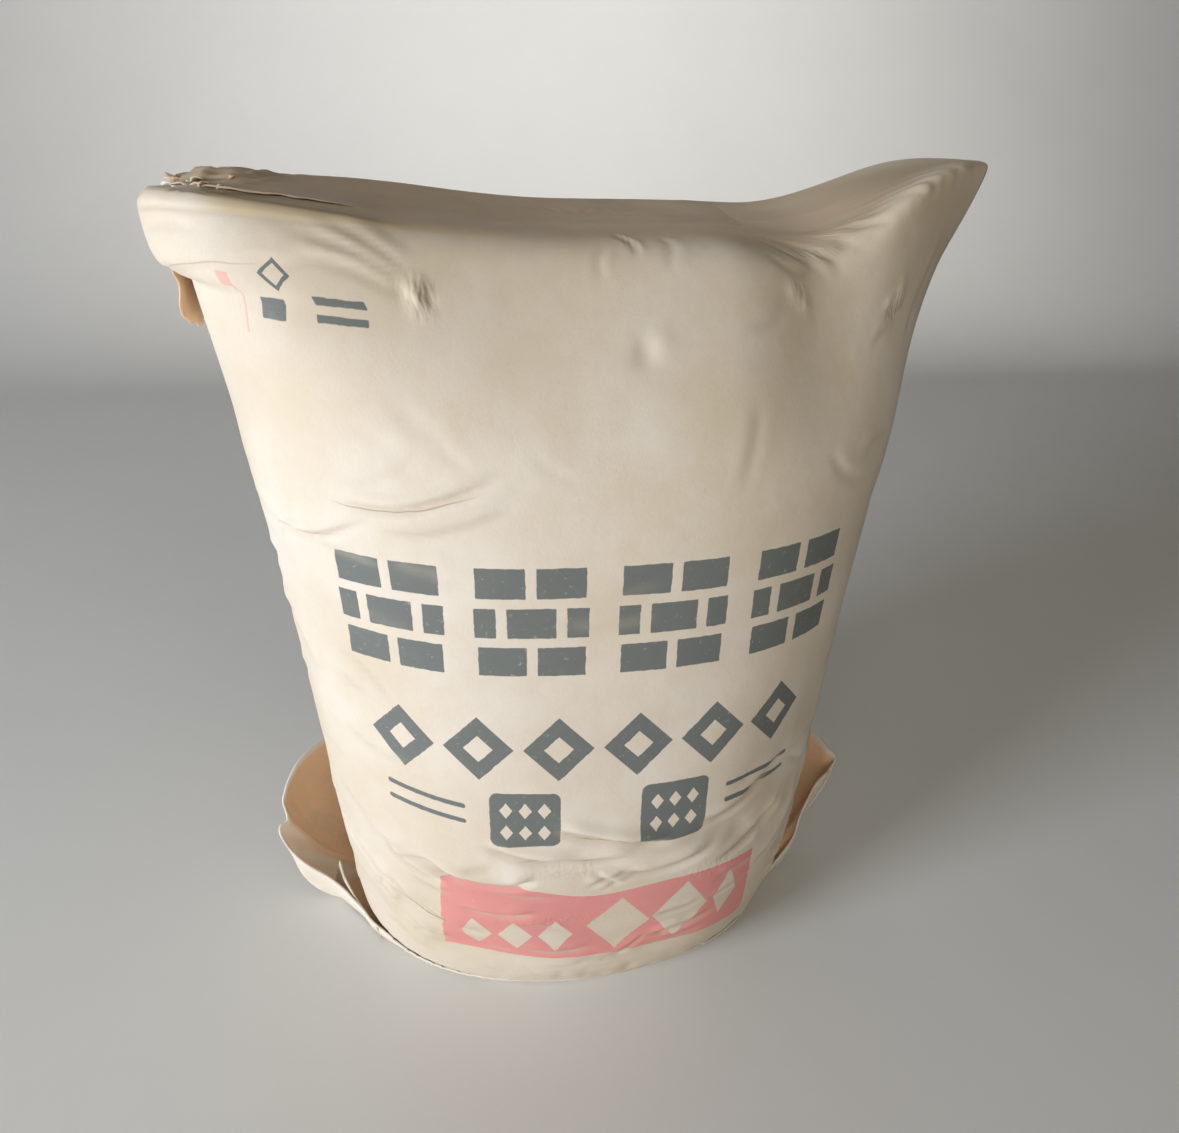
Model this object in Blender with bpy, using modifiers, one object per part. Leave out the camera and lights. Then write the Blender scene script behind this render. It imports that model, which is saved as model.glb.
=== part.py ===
"""A 25 kg paper sack of cement, standing upright on its pasted bottom end.

Units are metres, +Z is up and the printed front face looks along -Y.
The origin is on the floor, under the middle of the sack.
The paper tube is pasted flat at both ends, so each end keeps a pointed ear on
the left and on the right, while the powder bulges the tube between them.
"""

import math

import bmesh
import bpy
from mathutils import Vector
from mathutils.bvhtree import BVHTree

# Paper and fits
PLY_STACK = 0.0012          # plies of kraft, pasted where they overlap under the sack
COVER_SHEET = 0.0009        # the sheet pasted over the top end
TONGUE_SHEET = 0.0008       # the bare kraft tongue of the filling valve
FIT_GAP = 0.0005            # free space between two pieces of paper that touch

# The filled tube, from the floor up
FLOOR_WIDTH = 0.238         # flat patch that carries the sack
FLOOR_DEPTH = 0.150
FOOT_HEIGHT = 0.046         # height over which the bottom rounds out
FOOT_WIDTH = 0.264
FOOT_DEPTH = 0.202
BELLY_HEIGHT = 0.135
BELLY_WIDTH = 0.272
BELLY_DEPTH = 0.222
CHEST_DROP = 0.124          # below the top end
CHEST_WIDTH = 0.290
CHEST_DEPTH = 0.204
END_HEIGHT = 0.404          # height of the top end at its middle
END_WIDTH = 0.320           # body of the sack at the top end, without its ears
END_DEPTH = 0.108           # width of the pasted end
END_SAG = 0.003             # the top end sinks between its folded edges

# The ears of the top end
RIGHT_EAR_REACH = 0.185     # tip, measured from the middle of the sack
RIGHT_EAR_LIFT = 0.027      # the tip stands above the top end
RIGHT_EAR_ROOT = 0.078      # where the lift starts, from the middle
RIGHT_EAR_CREST = 0.160     # where the lift is whole
RIGHT_EAR_DROP = 0.090      # the side flares into the ear over this height
RIGHT_EAR_DIP = 0.011       # the front fold sinks beside the ear's root
RIGHT_EAR_DIP_PLACE = 0.100
RIGHT_EAR_DIP_SPREAD = 0.050
LEFT_EAR_REACH = 0.178      # this ear is folded down into a rounded lip
LEFT_EAR_LIFT = 0.013
LEFT_EAR_CREST = 0.145      # where the left side of the end stands highest
LEFT_LIP_DROP = 0.006       # middle of the lip, below the top end
LEFT_LIP_HALF_HEIGHT = 0.022
EAR_LIFT_DROP = 0.110       # the lift fades out over this height

# The cover of the bottom end, with its ears curled up off the floor
BOTTOM_COVER_MARGIN = 0.004     # it goes this far past the flat patch
LEFT_CURL_REACH = 0.065         # how far this ear goes out past that margin
LEFT_CURL_HEIGHT = 0.072
LEFT_CURL_BEARING = 164.0       # direction of the ear from the middle, in degrees
LEFT_CURL_SPREAD_FRONT = 46.0
LEFT_CURL_SPREAD_BACK = 50.0
RIGHT_CURL_REACH = 0.072
RIGHT_CURL_HEIGHT = 0.066
RIGHT_CURL_BEARING = 10.0
RIGHT_CURL_SPREAD_FRONT = 28.0
RIGHT_CURL_SPREAD_BACK = 38.0

# The sheet pasted over the top end
TOP_COVER_SHARE = 0.80          # of the end's own outline, all round its middle

# The tongue under the left lip
TONGUE_TOP_DROP = 0.020         # below the top end
TONGUE_LENGTH = 0.028
TONGUE_HALF_WIDTH = 0.026
TONGUE_PLACE = -0.014           # its middle lies this far towards the front
TONGUE_FLARE = 0.006            # its loose end stands this far off the sack

# Shape of the tube's outline, which squares up and sharpens towards the top end
SHARPEN_DROP = 0.084        # it starts this far below the top end
BODY_SQUARENESS = 2.4
END_SQUARENESS = 3.6
BODY_ROUNDNESS = 0.43
RIGHT_TIP_SHARPNESS = 0.84
LEFT_TIP_SHARPNESS = 0.50

# How finely the cages are divided
AROUND = 32
UP = 22
END_ROWS = 4
CURL_RINGS = 6
TONGUE_COLUMNS = 8
TONGUE_ROWS = 6
END_CROWDING = 0.75         # rows crowd towards both ends of the tube: 0 even, 1 most
UPWARD = 0.5                # a face that looks up more than this belongs to the top end

PAPER_CREAM = (0.66, 0.58, 0.45)
PAPER_SHADE = (0.52, 0.42, 0.30)
KRAFT_BROWN = (0.42, 0.27, 0.15)
PAPER_ROUGHNESS = 0.74
KRAFT_ROUGHNESS = 0.85


def clear_scene():
    for found in list(bpy.data.objects):
        bpy.data.objects.remove(found, do_unlink=True)


def smooth(start, end, value):
    """0 before start, 1 after end, and an even S between them."""
    share = min(1.0, max(0.0, (value - start) / (end - start)))
    return share * share * (3.0 - 2.0 * share)


def mix(low, high, share):
    return low + (high - low) * share


def lobe(offset, before, after):
    """A rounded bump, 1 at offset 0, that reaches 0 at -before and at +after."""
    share = -offset / before if offset < 0 else offset / after
    return 0.5 + 0.5 * math.cos(math.pi * min(1.0, share))


def paper(name, colour, roughness):
    material = bpy.data.materials.new(name)
    material.use_nodes = True
    shader = material.node_tree.nodes["Principled BSDF"]
    shader.inputs["Base Color"].default_value = (*colour, 1.0)
    shader.inputs["Roughness"].default_value = roughness
    shader.inputs["Metallic"].default_value = 0.0
    return material


def new_object(name, bm, material, collection):
    mesh = bpy.data.meshes.new(name)
    bm.to_mesh(mesh)
    bm.free()
    mesh.shade_smooth()
    made = bpy.data.objects.new(name, mesh)
    made.data.materials.append(material)
    collection.objects.link(made)
    return made


def add_thickness(made, thickness, side):
    """Gives a sheet its wall, outside (1) or inside (-1) the way its faces look."""
    wall = made.modifiers.new("Thickness", "SOLIDIFY")
    wall.thickness = thickness
    wall.offset = side
    wall.use_even_offset = True


# The filled sack

def sack_floor():
    """Height of the sack's underside, on top of the bottom cover."""
    return PLY_STACK + FIT_GAP


def body_size(height):
    """Half width and half depth of the filled tube at a height above the floor."""
    chest_height = END_HEIGHT - CHEST_DROP
    if height < FOOT_HEIGHT:
        to_go = (FOOT_HEIGHT - height) / (FOOT_HEIGHT - sack_floor())
        rise = math.sqrt(1.0 - min(1.0, to_go) ** 2)
        width = mix(FLOOR_WIDTH, FOOT_WIDTH, rise)
        depth = mix(FLOOR_DEPTH, FOOT_DEPTH, rise)
    elif height < BELLY_HEIGHT:
        share = smooth(FOOT_HEIGHT, BELLY_HEIGHT, height)
        width = mix(FOOT_WIDTH, BELLY_WIDTH, share)
        depth = mix(FOOT_DEPTH, BELLY_DEPTH, share)
    elif height < chest_height:
        share = smooth(BELLY_HEIGHT, chest_height, height)
        width = mix(BELLY_WIDTH, CHEST_WIDTH, share)
        depth = mix(BELLY_DEPTH, CHEST_DEPTH, share)
    else:
        share = (height - chest_height) / CHEST_DROP
        width = mix(CHEST_WIDTH, END_WIDTH, smooth(0.0, 1.0, share))
        depth = mix(END_DEPTH, CHEST_DEPTH, math.cos(share * math.pi / 2))
    return width / 2, depth / 2


def ear_reach(height, on_right):
    """How far an ear stands out of the body's side at a height."""
    body = END_WIDTH / 2
    if on_right:
        flare = smooth(END_HEIGHT - RIGHT_EAR_DROP, END_HEIGHT, height)
        return (RIGHT_EAR_REACH - body) * flare ** 2
    above_lip = height - END_HEIGHT + LEFT_LIP_DROP
    bulge = lobe(above_lip, LEFT_LIP_HALF_HEIGHT, LEFT_LIP_HALF_HEIGHT)
    return (LEFT_EAR_REACH - body) * math.sqrt(bulge)


def tube_outline(angle, height):
    """Plan position of the tube's skin at an angle round the sack."""
    half_width, half_depth = body_size(height)
    on_right = math.cos(angle) > 0
    towards_end = smooth(END_HEIGHT - SHARPEN_DROP, END_HEIGHT, height)
    squareness = mix(BODY_SQUARENESS, END_SQUARENESS, towards_end)
    tip = RIGHT_TIP_SHARPNESS if on_right else LEFT_TIP_SHARPNESS
    sharpness = mix(BODY_ROUNDNESS, tip, towards_end)
    across = math.cos(angle)
    depth = max(0.0, 1.0 - abs(across) ** squareness) ** sharpness
    x = across * (half_width + ear_reach(height, on_right))
    y = math.copysign(half_depth * depth, math.sin(angle))
    return x, y


def end_half_depth(x):
    """Half the width of the top end at a distance to the left or right of its middle."""
    reach, tip = (RIGHT_EAR_REACH, RIGHT_TIP_SHARPNESS) if x > 0 else (LEFT_EAR_REACH, LEFT_TIP_SHARPNESS)
    across = min(1.0, abs(x) / reach)
    return END_DEPTH / 2 * (1.0 - across ** END_SQUARENESS) ** tip


def end_lift(x, y, height):
    """The ears lift the top end: up to a point on the right, in a low crest on the left."""
    fade = smooth(END_HEIGHT - EAR_LIFT_DROP, END_HEIGHT, height)
    right = RIGHT_EAR_LIFT * smooth(RIGHT_EAR_ROOT, RIGHT_EAR_CREST, x)
    left = LEFT_EAR_LIFT * lobe(x + LEFT_EAR_CREST, LEFT_EAR_REACH - LEFT_EAR_CREST, LEFT_EAR_CREST)
    in_front = max(0.0, -y) / (END_DEPTH / 2)
    dip = lobe(x - RIGHT_EAR_DIP_PLACE, RIGHT_EAR_DIP_SPREAD, RIGHT_EAR_DIP_SPREAD)
    return fade * (right + left - RIGHT_EAR_DIP * dip * in_front)


def sack_point(angle, row):
    """The skin at an angle round the sack, in a row from bottom middle to top middle."""
    low = sack_floor()
    if row < END_ROWS:
        x, y = tube_outline(angle, low)
        inward = row / END_ROWS
        return Vector((x * inward, y * inward, low))
    if row > UP - END_ROWS:
        x, y = tube_outline(angle, END_HEIGHT)
        inward = (UP - row) / END_ROWS
        x, y = x * inward, y * inward
        sag = END_SAG * (1.0 - inward ** 2)
        return Vector((x, y, END_HEIGHT - sag + end_lift(x, y, END_HEIGHT)))
    climb = (row - END_ROWS) / (UP - 2 * END_ROWS)
    height = mix(low, END_HEIGHT, mix(climb, smooth(0.0, 1.0, climb), END_CROWDING))
    x, y = tube_outline(angle, height)
    return Vector((x, y, height + end_lift(x, y, height)))


def build_filled_sack(collection):
    bm = bmesh.new()
    bmesh.ops.create_uvsphere(bm, u_segments=AROUND, v_segments=UP, radius=1.0)
    for vert in bm.verts:
        angle = math.atan2(vert.co.y, vert.co.x)
        from_bottom = math.acos(max(-1.0, min(1.0, -vert.co.z))) / math.pi
        vert.co = sack_point(angle, round(from_bottom * UP))
    bmesh.ops.recalc_face_normals(bm, faces=bm.faces)
    sack = new_object("filled_sack", bm, paper("cream_paper", PAPER_CREAM, PAPER_ROUGHNESS), collection)
    soften = sack.modifiers.new("Soften", "SUBSURF")
    soften.levels = soften.render_levels = 1
    return sack


# The sheets that lie on the sack

def lay_sheet(bm, skin, towards, lift):
    """Drops a sheet along a direction onto the sack's skin, and lifts each vertex off it again."""
    for vert in bm.verts:
        landed, facing = skin.ray_cast(vert.co - towards, towards)[:2]
        vert.co = landed + facing * lift(vert.co)
    bm.normal_update()
    inward = [face for face in bm.faces if face.normal.dot(towards) > 0]
    bmesh.ops.reverse_faces(bm, faces=inward)


def build_top_cover(sack, collection):
    """The skin of the end, less a border, lifted off by the gap."""
    skin = sack.evaluated_get(bpy.context.evaluated_depsgraph_get()).to_mesh()
    bm = bmesh.new()
    bm.from_mesh(skin)
    sack.to_mesh_clear()
    bm.normal_update()
    beyond = [face for face in bm.faces if not under_cover(face)]
    bmesh.ops.delete(bm, geom=beyond, context="FACES")
    for vert in bm.verts:
        vert.co += vert.normal * FIT_GAP
    cover = new_object("top_cover", bm, paper("shaded_paper", PAPER_SHADE, PAPER_ROUGHNESS), collection)
    add_thickness(cover, COVER_SHEET, 1)
    return cover


def under_cover(face):
    """True for a face of the top end that lies under its cover sheet."""
    place = face.calc_center_median() / TOP_COVER_SHARE
    return face.normal.z > UPWARD and abs(place.y) < end_half_depth(place.x)


def build_valve_tongue(skin, collection):
    top = END_HEIGHT - TONGUE_TOP_DROP
    bottom = top - TONGUE_LENGTH
    bm = bmesh.new()
    bmesh.ops.create_grid(bm, x_segments=TONGUE_COLUMNS, y_segments=TONGUE_ROWS, size=1.0)
    for vert in bm.verts:
        height = mix(bottom, top, vert.co.y / 2 + 0.5)
        vert.co = Vector((0, TONGUE_PLACE + vert.co.x * TONGUE_HALF_WIDTH, height))

    def lift(place):
        return FIT_GAP + TONGUE_FLARE * smooth(top, bottom, place.z)

    lay_sheet(bm, skin, Vector((1, 0, 0)), lift)
    tongue = new_object("valve_tongue", bm, paper("kraft_inside", KRAFT_BROWN, KRAFT_ROUGHNESS), collection)
    add_thickness(tongue, TONGUE_SHEET, 1)
    return tongue


# The cover under the sack

def curl(bearing):
    """Reach and height of the cover's rim, past the flat patch, in a direction in degrees."""
    left_off = (bearing - LEFT_CURL_BEARING + 180.0) % 360.0 - 180.0
    right_off = (bearing - RIGHT_CURL_BEARING + 180.0) % 360.0 - 180.0
    left = lobe(left_off, LEFT_CURL_SPREAD_BACK, LEFT_CURL_SPREAD_FRONT)
    right = lobe(right_off, RIGHT_CURL_SPREAD_FRONT, RIGHT_CURL_SPREAD_BACK)
    reach = BOTTOM_COVER_MARGIN + LEFT_CURL_REACH * left + RIGHT_CURL_REACH * right
    height = LEFT_CURL_HEIGHT * left + RIGHT_CURL_HEIGHT * right
    return reach, height


def build_bottom_cover(collection):
    bm = bmesh.new()
    made = bmesh.ops.create_circle(bm, cap_ends=True, segments=2 * AROUND, radius=1.0)
    for vert in made["verts"]:
        x, y = tube_outline(math.atan2(vert.co.y, vert.co.x), sack_floor())
        vert.co = (x, y, 0.0)
    rim = [edge for edge in bm.edges if edge.is_boundary]
    for ring in range(CURL_RINGS):
        before = ring / CURL_RINGS * math.pi / 2
        after = (ring + 1) / CURL_RINGS * math.pi / 2
        grown = bmesh.ops.extrude_edge_only(bm, edges=rim)["geom"]
        moved = [item for item in grown if isinstance(item, bmesh.types.BMVert)]
        rim = [edge for edge in bm.edges if edge.is_boundary]
        for vert in moved:
            reach, height = curl(math.degrees(math.atan2(vert.co.y, vert.co.x)))
            outward = Vector((vert.co.x, vert.co.y, 0.0)).normalized()
            vert.co += outward * reach * (math.sin(after) - math.sin(before))
            vert.co.z = height * (1.0 - math.cos(after))
    bmesh.ops.recalc_face_normals(bm, faces=bm.faces)
    floor = min(bm.faces, key=lambda face: face.calc_center_median().length)
    if floor.normal.z > 0:
        bmesh.ops.reverse_faces(bm, faces=bm.faces)
    cover = new_object("bottom_cover", bm, paper("cream_rim", PAPER_CREAM, PAPER_ROUGHNESS), collection)
    add_thickness(cover, PLY_STACK, -1)
    return cover


def main():
    clear_scene()
    collection = bpy.data.collections.new("cement_bag")
    bpy.context.scene.collection.children.link(collection)
    sack = build_filled_sack(collection)
    build_bottom_cover(collection)
    skin = BVHTree.FromObject(sack, bpy.context.evaluated_depsgraph_get())
    build_top_cover(sack, collection)
    build_valve_tongue(skin, collection)


main()
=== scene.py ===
"""Looks of a 25 kg paper sack of cement that stands on its pasted bottom end.

Units are metres, +Z is up and the printed front of the sack looks along -Y.
The paper tube is 800 mm round, so every place on it has a paper coordinate:
how far it lies round the tube from the middle of the front, and how high up.
Folds are listed in paper coordinates, in millimetres.
"""

import functools
import itertools
import math
import random

import bmesh
import bpy
import numpy as np
from mathutils import Matrix, Vector
from mathutils.bvhtree import BVHTree


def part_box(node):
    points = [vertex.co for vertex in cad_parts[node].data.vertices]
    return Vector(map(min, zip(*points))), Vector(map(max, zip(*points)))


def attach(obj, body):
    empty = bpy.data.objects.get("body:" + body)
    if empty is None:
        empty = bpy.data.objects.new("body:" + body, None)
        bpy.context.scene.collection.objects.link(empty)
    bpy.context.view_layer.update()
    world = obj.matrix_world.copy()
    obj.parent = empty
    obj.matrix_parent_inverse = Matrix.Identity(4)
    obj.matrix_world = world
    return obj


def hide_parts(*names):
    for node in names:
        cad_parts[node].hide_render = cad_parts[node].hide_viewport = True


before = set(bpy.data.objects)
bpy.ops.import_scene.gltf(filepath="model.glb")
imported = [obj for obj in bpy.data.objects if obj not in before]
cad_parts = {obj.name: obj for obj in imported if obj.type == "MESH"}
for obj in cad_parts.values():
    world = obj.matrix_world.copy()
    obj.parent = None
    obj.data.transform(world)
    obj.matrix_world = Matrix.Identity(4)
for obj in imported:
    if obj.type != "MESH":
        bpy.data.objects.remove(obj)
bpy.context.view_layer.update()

SACK_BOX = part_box("filled_sack")

# Where the picture is taken from
CAMERA_PLACE = Vector((-0.0514, -0.3856, 0.459))
CAMERA_BEARING = 9.0        # degrees to the right of straight ahead
CAMERA_DROP = 30.4          # degrees below the horizon
CAMERA_ROLL = 1.9
CAMERA_LENS = 26.23

# The paper tube
QUARTER = 0.2               # a quarter of the way round the tube
FLOOR_GAP = SACK_BOX[0].z
FLOOR_WIDTH = 0.234
FLOOR_DEPTH = 0.144
FOOT_HEIGHT = 0.046
CHEST_HEIGHT = 0.280
END_HEIGHT = 0.404
END_DEPTH = 0.108
CHEST_DEPTH = 0.204
WIDTH_AT = ((0.046, 0.261), (0.135, 0.271), (0.280, 0.290), (0.345, 0.304), (0.404, 0.320))
DEPTH_AT = ((0.046, 0.195), (0.135, 0.219), (0.210, 0.213), (0.280, 0.204))

# Its ears
RIGHT_EAR_REACH = 0.182
RIGHT_EAR_LIFT = 0.024
RIGHT_EAR_ROOT = 0.085
RIGHT_EAR_CREST = 0.167
RIGHT_EAR_DROP = 0.083
RIGHT_EAR_DIP = 0.011
RIGHT_EAR_DIP_PLACE = 0.100
RIGHT_EAR_DIP_SPREAD = 0.050
LEFT_EAR_REACH = 0.1705
LEFT_EAR_LIFT = 0.0115
LEFT_EAR_CREST = 0.150
LEFT_EAR_END_SPREAD = 0.052
LEFT_LIP_DROP = 0.0115      # the fold-over lip is widest this far below the end
LEFT_LIP_HALF_HEIGHT = 0.0165
LEFT_LIP_SQUARENESS = 3.2
EAR_LIFT_DROP = 0.110
END_SAG = 0.003

# Plan of a ring: squareness of its curve and sharpness of its ends
SHARPEN_DROP = 0.084
BODY_CORNER = (2.4, 0.43)
FRONT_FOOT_CORNERS = {       # (heights, squarenesses, sharpnesses) on each side
    -1: ((0.035, 0.095), (2.2, 2.4), (0.49, 0.43)),
    1: ((0.015, 0.060, 0.110, 0.160), (2.2, 2.70, 2.65, 2.4), (0.49, 0.42, 0.42, 0.43)),
}
LEFT_END_CORNER = (6.5, 0.38)
RIGHT_BACK_CORNER = (3.6, 0.84)
RIGHT_FRONT_CORNER = (2.8, 1.12)

# Rings and columns of the sack's skin, in thirds so that a coarse skin shares them
FLOOR_RINGS = 3
FOOT_RINGS = 24
WALL_RINGS = 183
WALL_CLOSENESS = (           # (height, how close the rings lie there)
    (0.046, 1.5), (0.150, 1.5), (0.175, 0.9), (0.268, 0.9),
    (0.285, 1.5), (0.330, 1.5), (0.345, 1.1), (0.404, 1.9),
)
END_RINGS = 24
FRONT_COLUMNS = 114         # in a quarter of the tube
BACK_COLUMNS = 78
COARSER = 3
END_RING = FLOOR_RINGS + FOOT_RINGS + WALL_RINGS - 1
FINE_STEPS = 400            # steps by which the wall's rings are measured out
OUTLINE_POINTS = 241        # close points along a quarter of a ring

# How the end's edge is rounded off
EDGE_PASSES = 26
EDGE_RINGS = (22, 16)       # rings that it takes in below and above the edge
CRISP_EDGE = (-0.235, -0.200, -0.150, -0.090)  # a stretch: it sets in over two places and ends over two
HORN_EDGE = (0.100, 0.150, 0.240, 0.300)
BACK_EDGE = (0.235, 0.330)
CRISP_FIRMNESS = 0.93
HORN_FIRMNESS = 0.86
BACK_FIRMNESS = 0.7
LEAST_SOFTNESS = 0.05

# The paper as cloth over its filling
CLOTH_FRAMES = 18
CLOTH_SETTINGS = {
    "quality": 4, "mass": 0.12, "tension_stiffness": 30, "compression_stiffness": 30, "shear_stiffness": 12,
    "bending_stiffness": 1.5, "shrink_min": -0.016, "use_pressure": True, "uniform_pressure_force": 2.6,
}
HELD_FOOT = (0.030, 0.006)  # the foot is free above the first height and held below the second
HELD_RINGS = (3, 30)        # coarse rings that are held below and above the end's edge
LEAST_GRIP = 0.12
GRIP_STEPS = 10
BUCKLE_LIMIT = 0.0042
CALM_SIDES = (0.235, 0.185)  # where the calm front begins, round the tube
CALM_FRONT = 0.93           # how much of its buckling the taut upper front loses
CALM_CHEST = (0.190, 0.310)
CALM_LOW_FRONT = 0.35
CALM_BELLY = (0.130, 0.180)
CALM_END_RINGS = 9          # rings round the end's middle over which buckles fade out

# Fold-over strip along the front's top left, above a line in paper coordinates
STRIP_LINE = ((-0.185, 0.3795), (-0.150, 0.3815), (-0.120, 0.3868), (-0.089, 0.3890), (-0.060, 0.3885))
STRIP_STRETCH = (-0.215, -0.185, -0.096, -0.066)
STRIP_EDGE = (-0.0006, 0.0008)
STRIP_STEP = 0.0013
BEAD_HEIGHT = 0.0042
BEAD_STRETCH = (-0.180, -0.160, -0.113, -0.078)
BEAD_EDGE = (-0.0009, 0.0004)
BEAD_STEP = 0.0010
# where the painted shadow line under the bead lies
BEAD_SHADOW_DROP = 0.0008
BEAD_SHADOW = (0.002, 0.001)
EDGE_MARGIN = 0.0005

# Crinkled edges: the horn's front edge, and the torn top of the left lip
CRINKLED_EDGES = (           # (stretch, height, reach below and above, depth, coarse ripple, fine ripple)
    ((0.078, 0.100, 0.185, 0.205), 0.405, (0.012, 0.016), 0.0005, (17, 1.3, 1.0, 0.011), (19, 0.006)),
    ((-0.215, -0.190, -0.150, -0.138), 0.409, (0.012, 0.014), 0.0011, (21, 1.0, 0.8, 0.0075), (22, 0.0048)),
)
FINE_CRINKLES = 0.6

# Pasted seam down the back
SEAM_EDGE = (0.3755, 0.3765)
SEAM_STEP = 0.0008
SEAM_FADE = 0.01            # over this much below the end it fades out
FREE_HEIGHT = 0.030         # from here up the paper is free to fold

# Tray of the bottom cover: (bearing in degrees, reach from the middle, height) of its rim
TRAY_RIM = (
    (0.0, 0.1716, 0.0684), (1.6, 0.1778, 0.0735), (4.0, 0.1755, 0.0765), (6.6, 0.1735, 0.0778),
    (8.4, 0.1716, 0.0790), (14.0, 0.1640, 0.066), (22.0, 0.152, 0.042), (36.0, 0.130, 0.018),
    (55.0, 0.104, 0.009), (90.0, 0.081, 0.006), (122.0, 0.101, 0.009), (138.0, 0.128, 0.024),
    (149.0, 0.149, 0.054), (158.0, 0.161, 0.076), (163.0, 0.166, 0.0755), (168.5, 0.1715, 0.072),
    (172.0, 0.1745, 0.065), (174.4, 0.1750, 0.056), (175.6, 0.1725, 0.0495), (176.6, 0.1735, 0.0500),
    (178.2, 0.1750, 0.0445), (180.0, 0.1715, 0.0390), (182.0, 0.1625, 0.0318), (184.0, 0.1500, 0.0250),
    (187.0, 0.1400, 0.0195), (190.0, 0.1350, 0.0175), (194.0, 0.1300, 0.0165), (198.0, 0.1270, 0.0160),
    (202.0, 0.1220, 0.0135), (207.0, 0.1160, 0.0115), (213.0, 0.1085, 0.0100), (219.0, 0.1025, 0.0088),
    (231.0, 0.0935, 0.0072), (246.0, 0.0878, 0.0062), (262.0, 0.0838, 0.0052), (279.0, 0.0830, 0.0044),
    (299.0, 0.0872, 0.0040), (318.0, 0.0975, 0.0040), (330.0, 0.1080, 0.0050), (341.0, 0.1195, 0.0070),
    (347.0, 0.1290, 0.0100), (350.5, 0.1380, 0.0150), (353.0, 0.1480, 0.0300), (355.5, 0.1545, 0.0500),
    (358.0, 0.1618, 0.0630),
)
TRAY_COLUMNS = 720
TRAY_LEVELS = 40
TRAY_FLAT = 0.34            # share of the levels that lie flat under the sack
TRAY_SHEET = 0.0011
TRAY_CLEARANCE = 0.0016
TRAY_START = 0.90           # where an ear leaves the floor, as a share of the sack's own reach
TRAY_MIDDLE = 0.2           # how far in the flat part goes, as a share of that
TRAY_CREASE = 0.0045
TRAY_LOW_WALL = (0.062, 0.026)  # rim heights between which an ear turns into a low wall
TRAY_RISE = 0.10            # how flat an ear leaves the floor
LOW_WALL_FOOT = 0.006       # how far inside its top a low wall starts
LOW_WALL_SLOPE = 0.35
LOW_WALL_BULGE = 0.0005
SACK_LEVELS = 41            # heights at which the sack's foot is measured for the tray
SACK_LEVELS_TOP = 0.080
EAR_HEIGHTS = (0.016, 0.045)
EAR_CREASES = ((174.7, 1.0, 1.0), (177.0, 1.1, -1.0))  # (bearing, half width in degrees, push)
EAR_CREASE_RISE = (0.15, 0.45)
EAR_WAVE_OUT = (0.0015, 3, 80, 2.2)  # (depth, seed, pitch up, size)
EAR_WAVE_UP = (0.0010, 8, 40, 1.5)
EAR_WAVE_PITCH = 9.0
SECOND_LOBE = (174.8, 175.5, 188.0, 200.0)
SECOND_LOBE_FOOT = (0.03, 0.2)
SECOND_LOBE_CREAM = 0.60
SECOND_LOBE_PATCHES = 0.30
EAR_FULLNESS = (
    (0, 0.95), (60, 0.95), (120, 1.035), (170, 1.035), (176, 0.90), (200, 0.91), (240, 1.0), (360, 0.95),
)
RIM_BAND = 0.0038           # width of the cream band along the rim's inner side
RIM_BAND_EDGE = (1.5, 0.7)  # where its soft edge starts and ends, as shares of its width

# Inner ply of the left ear: top edge and foot of a flap between the ear and the sack
FLAP_TOP = ((-117, -44, 13), (-122, -37, 13), (-130, -25, 16), (-138, -12, 22), (-142, -1, 26))
FLAP_FOOT = ((-116, -41, 2), (-120, -34, 2), (-129, -23, 2), (-140, -12, 3), (-147, -2, 5))
FLAP_WAVE = 0.0008
FLAP_FACES = (48, 10)

# Outline of the top cover in mm: (x, y) along its front edge and along its back edge
COVER_FRONT = (
    (-160, -8), (-152, -17), (-143, -24), (-133, -28.5), (-108, -31),
    (-93, -30), (-76, -26), (-61, -24), (0, -24), (90, -22),
)
COVER_BACK = ((-160, 27), (-152, 36), (-135, 43), (-110, 47), (0, 49), (60, 46), (90, 40))
COVER_SHEET = 0.0006
COVER_LIFT = 0.0003
COVER_PROUD = 0.0003        # how much higher its front left edge stands
COVER_CRUMPLE = 0.0024      # how high its torn left end crumples up
COVER_TUCK = 0.0016         # how deep its other edges lie in the sack's paste
COVER_FACES = (160, 48)
COVER_WAVE = (0.0006, 12, 0.010)  # how its cut edges waver: (depth, seed, size)
COVER_TORN_WAVE = (0.0012, 13, 0.004)
COVER_TORN_END = (-0.138, -0.148)
COVER_PROUD_END = (-0.080, -0.118)
COVER_CRUMPLED_END = (-0.112, -0.146)
COVER_TUCKED_RIGHT = (0.060, 0.088)
COVER_TUCKED_FRONT = (-0.098, -0.074)
COVER_THIN = 0.2            # thickness away from the proud edge, as a share

# The valve's tongue
TONGUE_SHEET = 0.0006
TONGUE_SEED = 41
TONGUE_TEETH = 30
TONGUE_TEAR = 0.0016
TONGUE_FACES = (60, 34)
TONGUE_SIDE_WAVE = (0.0010, 5, 1.0)  # (depth, seed, size)
TONGUE_SWING = 0.0036       # how far its lower end stands out
TONGUE_WAVE = 0.0012
TONGUE_SIDES = (-0.0335, 0.012)
TONGUE_SLANT = 0.013
TONGUE_TOP = 0.392
TONGUE_OUT = 0.1578
TONGUE_END = ((-0.0335, 0.3745), (-0.022, 0.3700), (-0.015, 0.3640), (-0.006, 0.3600), (0.018, 0.3590))

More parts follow.
